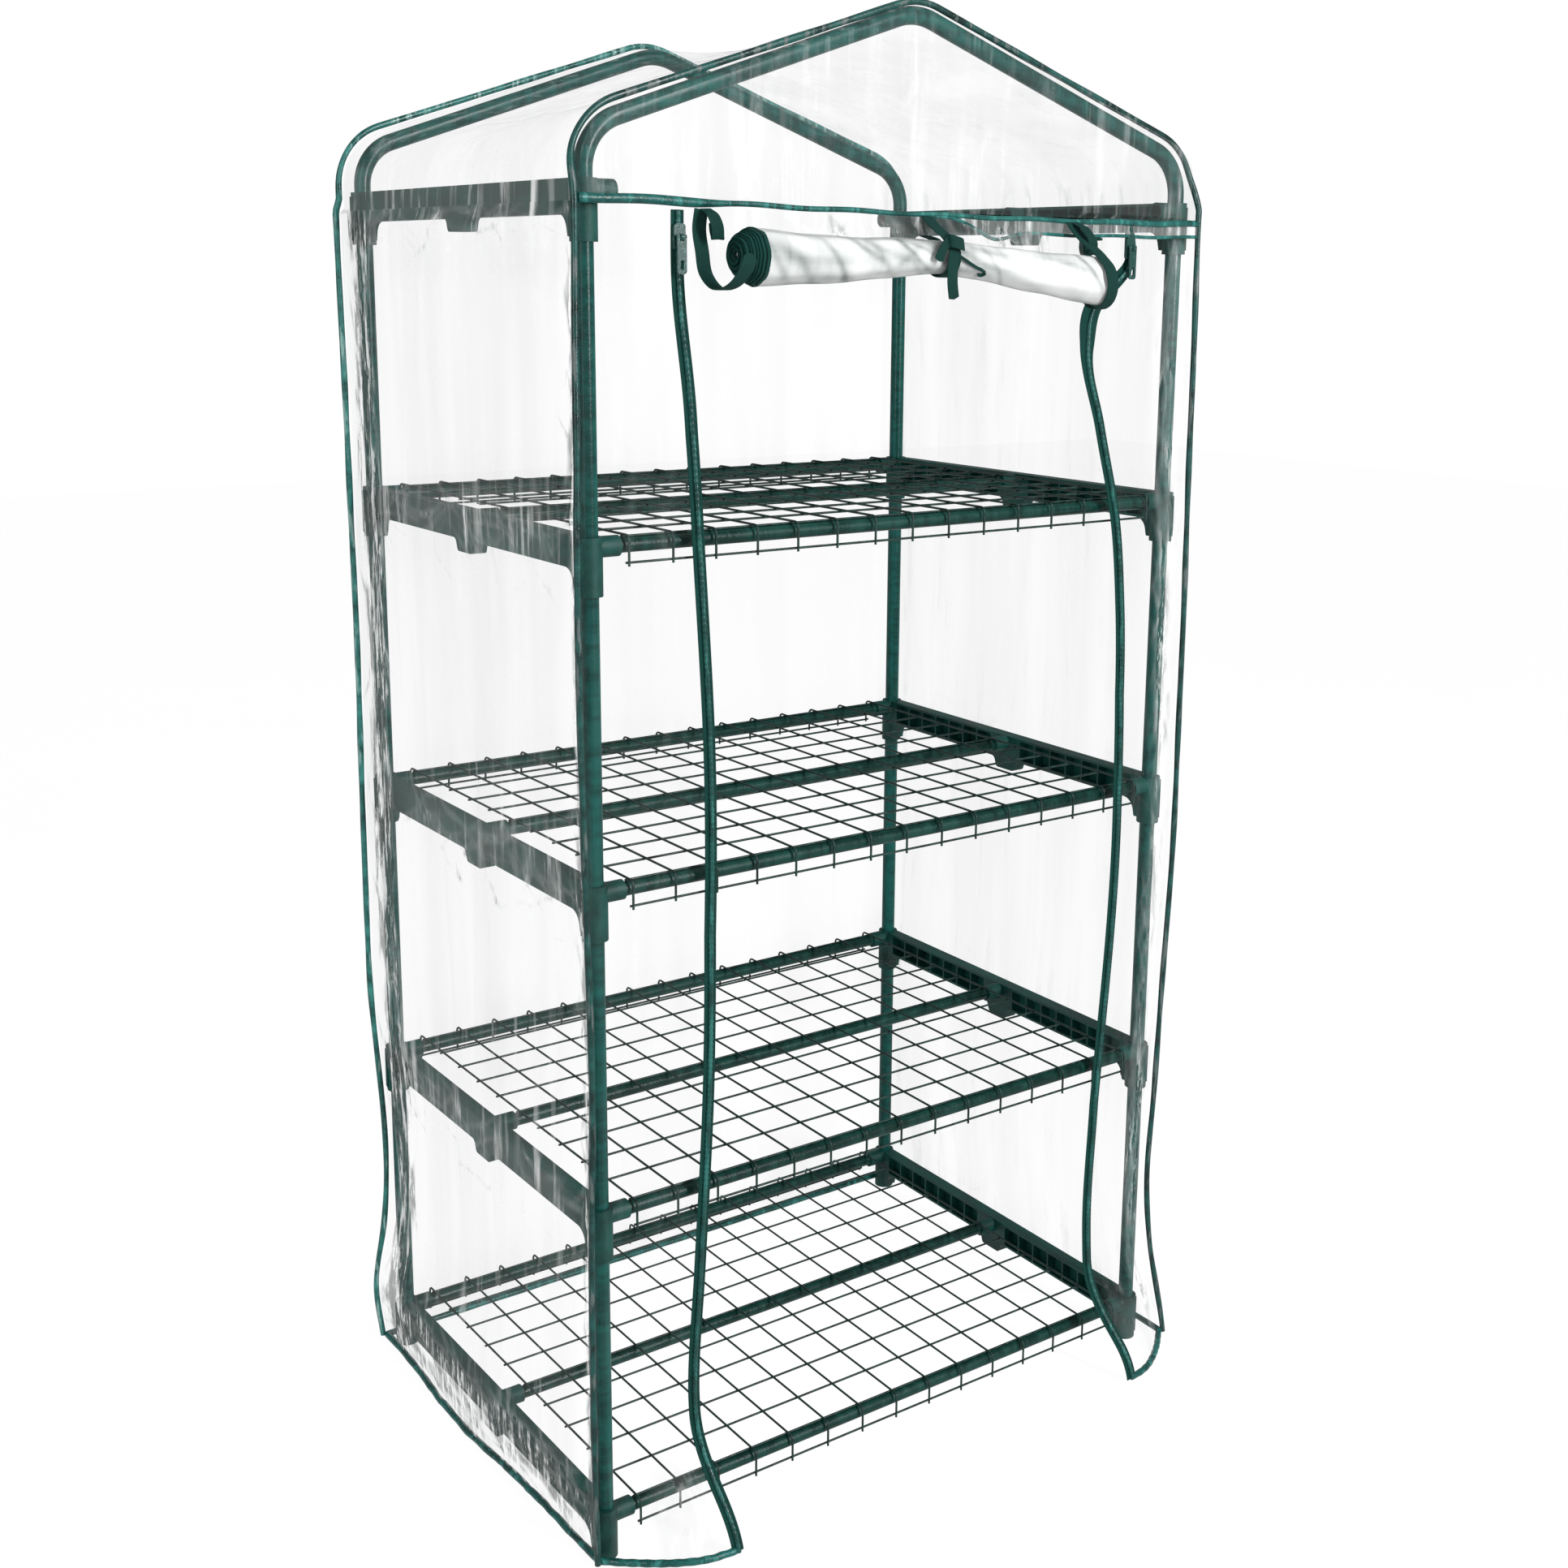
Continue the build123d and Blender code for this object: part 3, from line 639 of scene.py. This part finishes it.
def roof():
    """The roof: tight over both hoops, sagging between them."""
    rows, columns = 150, 360
    outline = roof_outline(columns)
    fore = np.linspace(-1, 1, rows)[:, None] * np.ones(columns)
    x = outline[:, 0][None] * np.ones((rows, 1))
    z = outline[:, 1][None] * np.ones((rows, 1))
    y = MID_Y + fore * FILM_Y + rim_back(z) * np.clip(-fore, 0, 1) ** 3
    run = np.linspace(0, 1, columns)[None] * np.ones((rows, 1))
    tangent = np.gradient(outline, axis=0)
    tangent /= np.linalg.norm(tangent, axis=1)[:, None]
    normal_x, normal_z = -tangent[:, 1], tangent[:, 0]
    between = np.clip(1 - (fore * FILM_Y / HALF_SPAN_Y) ** 2, 0, 1)
    slack = smooth(run, 0.0, 0.12) * smooth(1 - run, 0.0, 0.12)
    sag = between * slack * (0.010 + 0.008 * bump(run, 0.5, 0.10))
    depth = (fore + 1) * FILM_Y
    whole = (0.05, 0.95, 0.0, WALL_FOLDED)
    folds, sharp = creases(run, depth, 71, 44, whole, 0.12, 0.008, 0.0016, spread=0.5)
    left_slope = (0.1, 0.3, 0.0, WALL_FOLDED)
    pull, pull_sharp = creases(run, depth, 73, 30, left_slope, 0.09, 0.005, 0.0012, lean=0.9, spread=0.3)
    out = -sag + (folds + pull) * between * slack
    grid = np.stack([x + normal_x * out, y, z + normal_z * out], axis=2)
    # whitish haze and painted sheen, strongest along its edges at the headers
    whitish_haze_and_sheen = 0.25 + 0.95 * (1 - smooth(np.minimum(run, 1 - run), 0.035, 0.06))
    return grid, (0.04 * sharp + 0.05 * pull_sharp, whitish_haze_and_sheen)


def upright_panel(row, low, seed, folds):
    """A flat end panel from height low up to the roof: the rear wall or the front gable."""
    rows, columns = (150, 240) if row == FRONT else (320, 200)
    outline = roof_outline(400)
    share = np.sin(np.linspace(-pi / 2, pi / 2, columns))
    top_x = share * FILM_X
    half = len(outline) // 2
    top_z = np.where(
        top_x < 0,
        np.interp(top_x, outline[:half, 0], outline[:half, 1]),
        np.interp(top_x, outline[half:, 0], outline[half:, 1]),
    )
    top_z[0] = top_z[-1] = HEADER_Z + 0.02
    up = np.linspace(0, 1, rows)[:, None] * np.ones(columns)
    v = low + (top_z[None] - low) * up
    x = top_x[None] * np.ones((rows, 1))
    if row == REAR:
        below = np.minimum(v, HEADER_Z)
        left_x, left_y = corner_line(LEFT, row, below)
        right_x, right_y = corner_line(RIGHT, row, below)
        t = (share[None] + 1) / 2
        edge = left_x + (right_x - left_x) * t
        x = np.where(v < HEADER_Z, edge, x)
        y = left_y + (right_y - left_y) * t
    else:
        rim = np.maximum(smooth(up, 0.95, 1), smooth(np.abs(share)[None], 0.975, 1) * np.ones_like(up))
        y = MID_Y - FILM_Y + rim_back(v) * rim
    whole = (-HALF_FOLDED, HALF_FOLDED, low, 1.38)
    bend, sharp = creases(x, v, seed, folds, whole, 0.16, 0.007, 0.0018, spread=0.35)
    rub, rub_sharp = (0, 0)
    if row == REAR:
        rub, rub_sharp = rub_folds(x, v, seed + 5, (-HALF_FOLDED, HALF_FOLDED))
    inside = np.cos(pi / 2 * share[None]) ** 0.5 * smooth(up, 0, 0.05) * smooth(1 - up, 0, 0.04)
    billow = 0.003 * (1 + np.sin(9 * x + 4 * v))
    out = np.maximum((bend + rub + billow) * inside, SKIN_LIMIT)
    # whitish haze and painted sheen: even over the gable, strongest at the bracket levels on the rear wall
    whitish_haze_and_sheen = 0.25 if row == FRONT else 0.12 + 0.3 * level_bands(v)
    return np.stack([x, y + row * out, v], axis=2), (0.03 * sharp + 0.12 * rub_sharp, whitish_haze_and_sheen)


def strip(side):
    """A front strip between the corner and the zip, whose foot is spread forward on the floor."""
    rows, columns = 420, 60
    v = np.linspace(HEM_Z, HEADER_Z, rows)[:, None] * np.ones(columns)
    across = np.linspace(0, 1, columns)[None] * np.ones((rows, 1))
    corner_x, corner_y = corner_line(side, FRONT, v)
    zip_x, zip_y = zip_line(side, v)
    u = across * 0.1
    seed = 91 if side == LEFT else 97
    folds, sharp = creases(u, v, seed, 46, (0, 0.1, 0.05, 1.2), 0.16, 0.004, 0.0014, spread=0.10)
    gathered, gathered_sharp = (0, 0)
    if side == RIGHT:
        gathered, gathered_sharp = edge_folds(u, v, seed + 20, 0.013, 0.037)
    inside = np.sin(pi * across) ** 0.5 * smooth(HEADER_Z - v, 0, 0.02)
    out = np.maximum((folds + gathered) * inside + 0.0015 * inside, -0.0006)
    eased = np.sin(pi / 2 * across)
    x = corner_x + (zip_x - corner_x) * across
    straight_y = corner_y + (zip_y - corner_y) * across
    eased_y = corner_y + (zip_y - corner_y) * eased
    blend = smooth(v, 0.10, 0.18)
    y = blend * straight_y + (1 - blend) * eased_y
    # whitish haze and painted sheen towards the middle of the strip's foot
    whitish_haze_and_sheen = 0.9 * smooth(across, 0.35, 0.6) * smooth(1 - across, 0.02, 0.2) * (1 - smooth(v, 0.02, 0.10))
    return np.stack([x, y - out, v], axis=2), (0.04 * sharp + 0.20 * gathered_sharp, whitish_haze_and_sheen + 0.02)


def declare(node):
    """Hides the CAD node that a film panel stands for."""
    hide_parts(node)


grids = {}
for side in (LEFT, RIGHT):
    grids["wall", side], marks = wall(side)
    panel = sheet_piece(f"film_wall_{NAMES[side]}", grids["wall", side], marks, FILM, "cover")
    declare(f"cover_wall_{NAMES[side]}")
    grids["strip", side], marks = strip(side)
    panel = sheet_piece(f"film_strip_{NAMES[side]}", grids["strip", side], marks, FILM, "cover")
    declare(f"front_strip_{NAMES[side]}")
roof_grid, marks = roof()
panel = sheet_piece("film_roof", roof_grid, marks, FILM, "cover")
declare("cover_roof")
gable_grid, marks = upright_panel(FRONT, HEADER_Z, 51, 40)
panel = sheet_piece("film_gable", gable_grid, marks, FILM, "cover")
declare("cover_front_gable")
grids["rear"], marks = upright_panel(REAR, HEM_Z, 57, 90)
panel = sheet_piece("film_rear", grids["rear"], marks, FILM, "cover")
declare("cover_wall_rear")

# ---- Piping and hem ----
PIPING_RADIUS = 0.003
PIPING_OUT = 0.0033  # from the film's middle to the piping's axis
RIM_OUT = 0.0016  # the same where the front rim lies on the hoop
ARCH_POINTS = 150  # along each leg of an arch, and over the roof
HEADER_OUT = 0.0036  # from the film's middle forward to the header piping
BAND_OUT = 0.0040  # and to the band that hangs below it
HEM_RADIUS = 0.0034
HEM_AXIS_Z = 0.0042  # the lowest a hem's axis may lie
HEM_POINTS = 160


def piping_arch(row):
    """Piping up one corner, along the edge of the roof and down the other corner."""
    heights = np.linspace(0.006, HEADER_Z, ARCH_POINTS)
    left_x, left_y = corner_line(LEFT, row, heights)
    right_x, right_y = corner_line(RIGHT, row, heights)
    outline = roof_outline(ARCH_POINTS, proud=PIPING_OUT)
    level = MID_Y + row * (FILM_Y + PIPING_OUT)
    if row == FRONT:
        snug = smooth(outline[:, 1], HEADER_Z, HEADER_Z + 0.05)[:, None]
        outline = outline + (roof_outline(ARCH_POINTS, proud=RIM_OUT) - outline) * snug
        level = level + PIPING_OUT * snug[:, 0]
    up = np.stack([left_x - PIPING_OUT, left_y + row * PIPING_OUT, heights], axis=1)
    back = rim_back(outline[:, 1]) if row == FRONT else 0
    over = np.stack([outline[:, 0], level + back * np.ones(ARCH_POINTS), outline[:, 1]], axis=1)
    down = np.stack([right_x + PIPING_OUT, right_y + row * PIPING_OUT, heights], axis=1)[::-1]
    return even(np.concatenate([up, over[2:-2], down]), 620)


for row, row_name in ((FRONT, "front"), (REAR, "rear")):
    path = piping_arch(row)
    swell = 1 + 0.10 * np.sin(np.linspace(0, 190, len(path))) * np.sin(np.linspace(0, 37, len(path)))
    arch = sweep(f"piping_{row_name}", path, circle(PIPING_RADIUS), PIPINGS[row], "cover", swell=swell)
    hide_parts("corner_piping", "roof_piping")

header_x = np.linspace(-FILM_X, FILM_X, 260)
header_z = through([(-0.35, 1.2335), (-0.24, 1.2325), (0.0, 1.229), (0.2, 1.2275), (0.35, 1.2285)], header_x)
header_z += 0.0006 * np.sin(60 * header_x)
header_y = np.full(len(header_x), MID_Y - FILM_Y - HEADER_OUT)
header_path = np.stack([header_x, header_y, header_z], axis=1)
header_swell = 1.35 - 0.55 * smooth(header_x, -0.25, -0.20) + 0.25 * smooth(header_x, 0.16, 0.26)
header = sweep("piping_header", header_path, circle(PIPING_RADIUS, 14), PIPING, "cover", swell=header_swell)
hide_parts("header_piping")

# Right of the centre tie the header's seam allowance hangs down as a band with a second green edge
band = header_x > 0.012
band_x, band_top = header_x[band], header_z[band]
band_y = np.full(len(band_x), MID_Y - FILM_Y - BAND_OUT)
drop = 0.002 + 0.011 * smooth(band_x, 0.02, 0.09) + 0.006 * bump(band_x, 0.085, 0.022)
band_path = np.stack([band_x, band_y, band_top - drop], axis=1)
band_edge = sweep("header_band_edge", band_path, circle(0.0017, 10), PIPING, "cover")
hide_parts("header_piping")
down = np.linspace(0, 1, 8)[:, None]
band_rows = [band_x + 0 * down, band_y + 0 * down, band_top - drop * down]
# the band's folds are painted grey as shade and white as highlight, over whitish haze and painted sheen
band_folds = 0.30 + 0.25 * bump(band_x, 0.085, 0.03)[None]
band_film = sheet_piece("header_band", np.stack(band_rows, axis=2), (band_folds, 1.0), FILM, "cover")
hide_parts("header_piping")


def hem(name, line):
    """A folded binding along the foot of a film panel."""
    raised = np.stack([line[:, 0], line[:, 1], np.maximum(line[:, 2], HEM_AXIS_Z)], axis=1)
    swell = 1 + 0.05 * np.sin(np.linspace(0, 60, HEM_POINTS))
    piece = sweep(name, even(raised, HEM_POINTS), circle(HEM_RADIUS, 10), PIPING, "cover", swell=swell)
    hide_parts("hem_binding")


for side in (LEFT, RIGHT):
    hem(f"hem_wall_{NAMES[side]}", grids["wall", side][0])
    hem(f"hem_strip_{NAMES[side]}", grids["strip", side][0])
hem("hem_rear", grids["rear"][0])

# ---- Zips ----
TAPE_WIDTH = 0.0125
TAPE_THICKNESS = 0.0013
TAPE_OUT = 0.0014  # from the film's middle forward to the tape
COIL_OUT = 0.0016  # and from the tape to the coil of teeth
COIL_RADIUS = 0.0023
COIL_TURNS = 230
ZIP_POINTS = 700


def zip_piece(side):
    """The zip's tape with its coil of teeth, from under the header down to the floor."""
    name = f"zip_tape_{NAMES[side]}"
    heights = np.linspace(0.006, HEADER_Z - 0.005, ZIP_POINTS)
    x, y = zip_line(side, heights)
    path = even(np.stack([x, y - TAPE_OUT, heights], axis=1), ZIP_POINTS)
    turned_out = 0.75 if side == RIGHT else 0.0
    spread = 1 + turned_out * bump(path[:, 2], 1.135, 0.035)
    outline = lozenge(TAPE_WIDTH, TAPE_THICKNESS)
    tape = sweep(name, path, outline, TAPE, "cover", side=(1, 0, 0), swell=spread)
    swell = 1 + 0.16 * np.sin(np.linspace(0, 2 * pi * COIL_TURNS, ZIP_POINTS))
    teeth_path = path - (0, COIL_OUT, 0)
    outline = circle(COIL_RADIUS, 10)
    teeth = sweep(f"zip_teeth_{NAMES[side]}", teeth_path, outline, TEETH, "cover", swell=swell)
    for piece in (tape, teeth):
        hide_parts(name)


for side in (LEFT, RIGHT):
    zip_piece(side)

# ---- The rolled door ----
ROLL_TURNS = 16
ROLL_CORE = 0.004  # the radius of its innermost turn
ROLL_END = 0.0255  # the radius of its outermost turn at the ends
ROLL_WAIST = 0.0150  # and under the centre tie
ROLL_LEFT, ROLL_RIGHT = -0.202, 0.192  # the outermost turn's ends
ROLL_SLIP = 0.018  # the innermost turn lies this much further left
DOOR_LENGTH = 1.22
ROLL_LAYER = 0.0004  # half the thickness of the zip tape wound up in it, and how far the tape stands out


def roll_radius(x):
    """The outside of the roll, pulled in by the centre tie."""
    share = np.abs(x) / ROLL_HALF
    return ROLL_WAIST + (ROLL_END - ROLL_WAIST) * share**1.1 + 0.0004 * np.sin(90 * x)


def roll_height(x):
    """The height of the roll's axis at x: held up by the centre tie, and lower at its right end."""
    return through([(-0.24, 1.190), (-0.12, 1.1885), (0.0, 1.1915), (0.10, 1.181), (0.21, 1.170)], x)


def spiral(low, high, columns, proud=0.0):
    """A grid of film wound round the roll's axis between two x, its turns slipped along the roll."""
    steps = 36 * ROLL_TURNS
    turn = np.linspace(0, ROLL_TURNS, steps)[:, None] * np.ones(columns)
    out = turn / ROLL_TURNS
    x0 = np.linspace(low, high, columns)[None] * np.ones((steps, 1))
    x = x0 - ROLL_SLIP * (1 - out**3) + 0.0022 * np.sin(2.1 * turn) * (1 - out)
    wind = ROLL_CORE + (roll_radius(x) - ROLL_CORE) * out + proud
    rng = np.random.default_rng(3)
    for waves in (1, 2, 3, 5, 8):
        size, start, twist = rng.uniform(0.0002, 0.0009), rng.uniform(0, 6), rng.uniform(-14, 14)
        wind = wind + size * np.sin(2 * pi * waves * turn + start + twist * x0) * out**2
    angle = 2 * pi * (turn - ROLL_TURNS)
    return np.stack([x, ROLL_Y + wind * np.cos(angle), roll_height(x) + wind * np.sin(angle)], axis=2)


roll_grid = spiral(ROLL_LEFT, ROLL_RIGHT, 150)
turn_run = np.linspace(0, DOOR_LENGTH, len(roll_grid))[:, None] * np.ones(roll_grid.shape[1])
roll_x = roll_grid[..., 0]
whole = (-0.2, 0.2, 0, DOOR_LENGTH)
by_tie = (-0.05, 0.05, 0, DOOR_LENGTH)
# crease marks on the roll, which the rolled film look paints grey as shade
lying = creases(roll_x, turn_run, 81, 700, whole, 0.045, 0.0035, 1, lean=1.35, spread=0.3)
pulled = creases(roll_x, turn_run, 82, 260, by_tie, 0.05, 0.0035, 1, lean=1.2, spread=0.2)
roll = sheet_piece("film_roll", roll_grid, (0.8 * lying[1] + 0.6 * pulled[1], 0), ROLLED, "door")
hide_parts("door_roll")

ROLL_TAPE = 0.0034  # the width of the door's half of each zip, wound up with its edge
for side, start in ((LEFT, ROLL_LEFT - ROLL_LAYER), (RIGHT, ROLL_RIGHT - ROLL_TAPE + ROLL_LAYER)):
    outer, inner = (spiral(start, start + ROLL_TAPE, 6, proud) for proud in (ROLL_LAYER, -ROLL_LAYER))
    ring = np.concatenate([outer, inner[:, ::-1]], axis=1)
    faces = quads(ring.shape[0], ring.shape[1], around=True)
    edge = mesh_piece(f"roll_tape_{NAMES[side]}", ring.reshape(-1, 3), faces, TAPE, "door")
    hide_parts("door_roll")

# The stretch of door between the header seam and the roll follows the roll as it comes down
rows, columns = 60, 160
share = np.linspace(0, 1, rows)[:, None] * np.ones(columns)
across = np.linspace(ROLL_LEFT, ROLL_RIGHT, columns)[None] * np.ones((rows, 1))
DOOR_TOP = HEADER_Z - 0.0033
top_y = MID_Y - FILM_Y - 0.0045
door_y = top_y + (ROLL_Y + roll_radius(across) - top_y) * smooth(share, 0, 1)
door_z = DOOR_TOP + (roll_height(across) - DOOR_TOP) * share
whole = (-0.2, 0.2, 1.18, 1.22)
ripple, sharp = creases(across, door_z, 61, 46, whole, 0.03, 0.004, 0.0018, spread=0.7)
ripple = np.clip(ripple, -0.0025, 0.001) * np.sin(pi * share)
door_grid = np.stack([across, door_y + ripple, door_z], axis=2)
# the door's fold marks are painted as shade and highlight, with half of the whitish haze and painted sheen
door = sheet_piece("film_door", door_grid, (0.35 * sharp, 0.5), FILM, None)
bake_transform(door)
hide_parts("door_film")

# ---- Ties ----
TIE_WIDTH = 0.0135
TIE_THICKNESS = 0.0014
SEAM_Y = MID_Y - FILM_Y - 0.006  # the ties are sewn on here, under the header piping


def strap(name, node, points, width=TIE_WIDTH, count=150, side=(1, 0, 0)):
    """A length of woven tape through a few given points, with a rounded tip."""
    path = route(points, count)
    tip = 1 - 0.75 * smooth(np.linspace(0, 1, count), 0.965, 1.0) ** 2
    piece = sweep(name, path, lozenge(width, TIE_THICKNESS), TIE, "cover", side=side, swell=tip)
    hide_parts(node)
    return piece


def loop_points(x, lean, start, stop, count, gap=0.0022):
    """Points round the roll at x, by degrees from its top towards the front. lean shifts them along it."""
    made = []
    for turn in np.linspace(radians(start), radians(stop), count):
        at = x + lean * (turn - radians(start))
        reach = float(roll_radius(at)) + gap
        made.append((at, ROLL_Y - reach * sin(turn), float(roll_height(at)) + reach * cos(turn)))
    return made


strap("tie_centre_loop", "tie_centre",
      [(0.002, SEAM_Y, 1.227), (0.001, SEAM_Y - 0.012, 1.219)]
      + loop_points(0.0, 0.0, 25, 320, 9)
      + [(-0.002, SEAM_Y + 0.0015, 1.213), (-0.003, SEAM_Y + 0.0015, 1.225)])
front_y = ROLL_Y - ROLL_WAIST
strap("tie_centre_tail", "tie_centre",
      [(-0.001, front_y + 0.004, 1.206), (-0.003, front_y - 0.004, 1.197), (-0.005, front_y - 0.0055, 1.184),
       (-0.004, front_y - 0.004, 1.170), (-0.001, front_y - 0.003, 1.155)], width=0.0115)
strap("tie_centre_end", "tie_centre",
      [(-0.002, front_y + 0.003, 1.207), (-0.012, front_y - 0.005, 1.203), (-0.018, front_y - 0.006, 1.196),
       (-0.021, front_y - 0.005, 1.188)], width=0.009, count=60, side=(0.5, 0, -0.8))
strap("tie_centre_knot", "tie_centre",
      [(-0.010, front_y + 0.001, 1.206), (-0.007, front_y - 0.007, 1.205), (0.002, front_y - 0.008, 1.203),
       (0.009, front_y - 0.003, 1.202)], width=0.011, count=60, side=(0, 0.2, 1))

# A thin lace lies on the roll beside the knot: x, and degrees from the roll's top towards the front
lace = [
    (0.003, 82), (0.010, 93), (0.018, 104), (0.026, 113),
    (0.033, 119), (0.037, 127), (0.034, 136), (0.029, 133),
]
lace_points = [loop_points(x, 0.0, turn, turn, 1, gap=0.0016)[0] for x, turn in lace]
strap("tie_centre_lace", "tie_centre", lace_points, width=0.0028, count=90, side=(0, 0.1, 1))
strap("tie_left_loop", "tie_left",
      [(-0.236, SEAM_Y, 1.227), (-0.2375, SEAM_Y + 0.001, 1.212), (-0.2385, ROLL_Y + 0.0215, 1.193),
       (-0.2380, ROLL_Y + 0.016, 1.174), (-0.2350, ROLL_Y + 0.001, 1.1625), (-0.2310, ROLL_Y - 0.016, 1.1660),
       (-0.2260, ROLL_Y - 0.0275, 1.180), (-0.222, ROLL_Y - 0.0285, 1.191)])
strap("tie_left_tail", "tie_left",
      [(-0.232, SEAM_Y, 1.227), (-0.231, SEAM_Y - 0.010, 1.222), (-0.229, SEAM_Y - 0.014, 1.212),
       (-0.228, SEAM_Y - 0.0125, 1.203), (-0.227, SEAM_Y - 0.008, 1.2085), (-0.226, SEAM_Y - 0.005, 1.216)],
      width=0.012, count=80)
strap("tie_right_loop", "tie_right",
      [(0.176, SEAM_Y, 1.226), (0.177, SEAM_Y - 0.012, 1.214)]
      + loop_points(0.180, 0.004, 30, 310, 9)
      + [(0.197, SEAM_Y + 0.0012, 1.198), (0.198, SEAM_Y + 0.0012, 1.223)])
strap("tie_right_curl", "tie_right",
      [(0.181, SEAM_Y, 1.226), (0.182, SEAM_Y - 0.014, 1.220), (0.185, SEAM_Y - 0.022, 1.207),
       (0.189, SEAM_Y - 0.016, 1.197), (0.193, SEAM_Y - 0.008, 1.203), (0.196, SEAM_Y - 0.012, 1.212),
       (0.199, SEAM_Y - 0.019, 1.210)], width=0.011, count=90)

# ---- Scene ----
AMBIENT = 0.30  # the backdrop's light on the object
BACKDROP = 1.02  # the backdrop as the camera sees it
FLOOR_HALF = 9
floor_corners = [
    (-FLOOR_HALF, -FLOOR_HALF, 0), (FLOOR_HALF, -FLOOR_HALF, 0),
    (FLOOR_HALF, FLOOR_HALF, 0), (-FLOOR_HALF, FLOOR_HALF, 0),
]
floor = mesh_piece("studio_floor", floor_corners, [(0, 1, 2, 3)], floor_look(), None)

world = bpy.data.worlds.new("studio")
bpy.context.scene.world = world
world.use_nodes = True
backdrop = world.node_tree.nodes["Background"]
backdrop.inputs["Color"].default_value = WHITE
strength = world.node_tree.nodes.new("ShaderNodeMapRange")
strength.inputs["To Min"].default_value = AMBIENT
strength.inputs["To Max"].default_value = BACKDROP
seen = world.node_tree.nodes.new("ShaderNodeLightPath").outputs["Is Camera Ray"]
world.node_tree.links.new(seen, strength.inputs["Value"])
world.node_tree.links.new(strength.outputs[0], backdrop.inputs["Strength"])
bpy.context.scene.view_settings.view_transform = "Standard"


def softbox(name, place, aim, size, power):
    """A soft area light."""
    light = bpy.data.lights.new(name, "AREA")
    light.shape = "RECTANGLE"
    light.size, light.size_y = size
    light.energy = power
    lamp = bpy.data.objects.new(name, light)
    direction = np.array(place) - np.array(aim)
    back = direction / np.linalg.norm(direction)
    right = np.cross((0, 0, 1), back)
    right /= np.linalg.norm(right)
    up = np.cross(back, right)
    turned = Matrix([(right[k], up[k], back[k]) for k in range(3)]).to_4x4()
    lamp.matrix_world = Matrix.Translation(place) @ turned
    bpy.context.scene.collection.objects.link(lamp)


LIGHT_AIM = (0, 0, 0.7)
softbox("key", (0.9, -3.2, 2.2), LIGHT_AIM, size=(0.5, 2.6), power=120)
softbox("fill", (-3.0, -1.4, 1.9), LIGHT_AIM, size=(0.8, 2.4), power=38)

CAMERA_PLACE = (-1.1024, -1.6398, 1.1746)  # from the middle of the frame on the ground
CAMERA_AZIMUTH = radians(-36.149)
CAMERA_ELEVATION = radians(12.087)
CAMERA_ROLL = radians(0.657)
CAMERA_LENS = 44.18
CAMERA_SENSOR = 36.0
CAMERA_SHIFT = (-0.0383, -0.0615)
camera_data = bpy.data.cameras.new("camera")
camera_data.lens = CAMERA_LENS
camera_data.sensor_width = CAMERA_SENSOR
camera_data.shift_x, camera_data.shift_y = CAMERA_SHIFT
camera = bpy.data.objects.new("camera", camera_data)
back = np.array((
    sin(CAMERA_AZIMUTH) * cos(CAMERA_ELEVATION),
    -cos(CAMERA_AZIMUTH) * cos(CAMERA_ELEVATION),
    sin(CAMERA_ELEVATION),
))
level_right = np.array((cos(CAMERA_AZIMUTH), sin(CAMERA_AZIMUTH), 0))
level_up = np.cross(back, level_right)
right = cos(CAMERA_ROLL) * level_right + sin(CAMERA_ROLL) * level_up
up = -sin(CAMERA_ROLL) * level_right + cos(CAMERA_ROLL) * level_up
camera.matrix_world = (
    Matrix.Translation((CAMERA_PLACE[0], CAMERA_PLACE[1] + MID_Y, CAMERA_PLACE[2]))
    @ Matrix([(right[k], up[k], back[k]) for k in range(3)]).to_4x4()
)
bpy.context.scene.collection.objects.link(camera)
bpy.context.scene.camera = camera

bpy.context.view_layer.update()
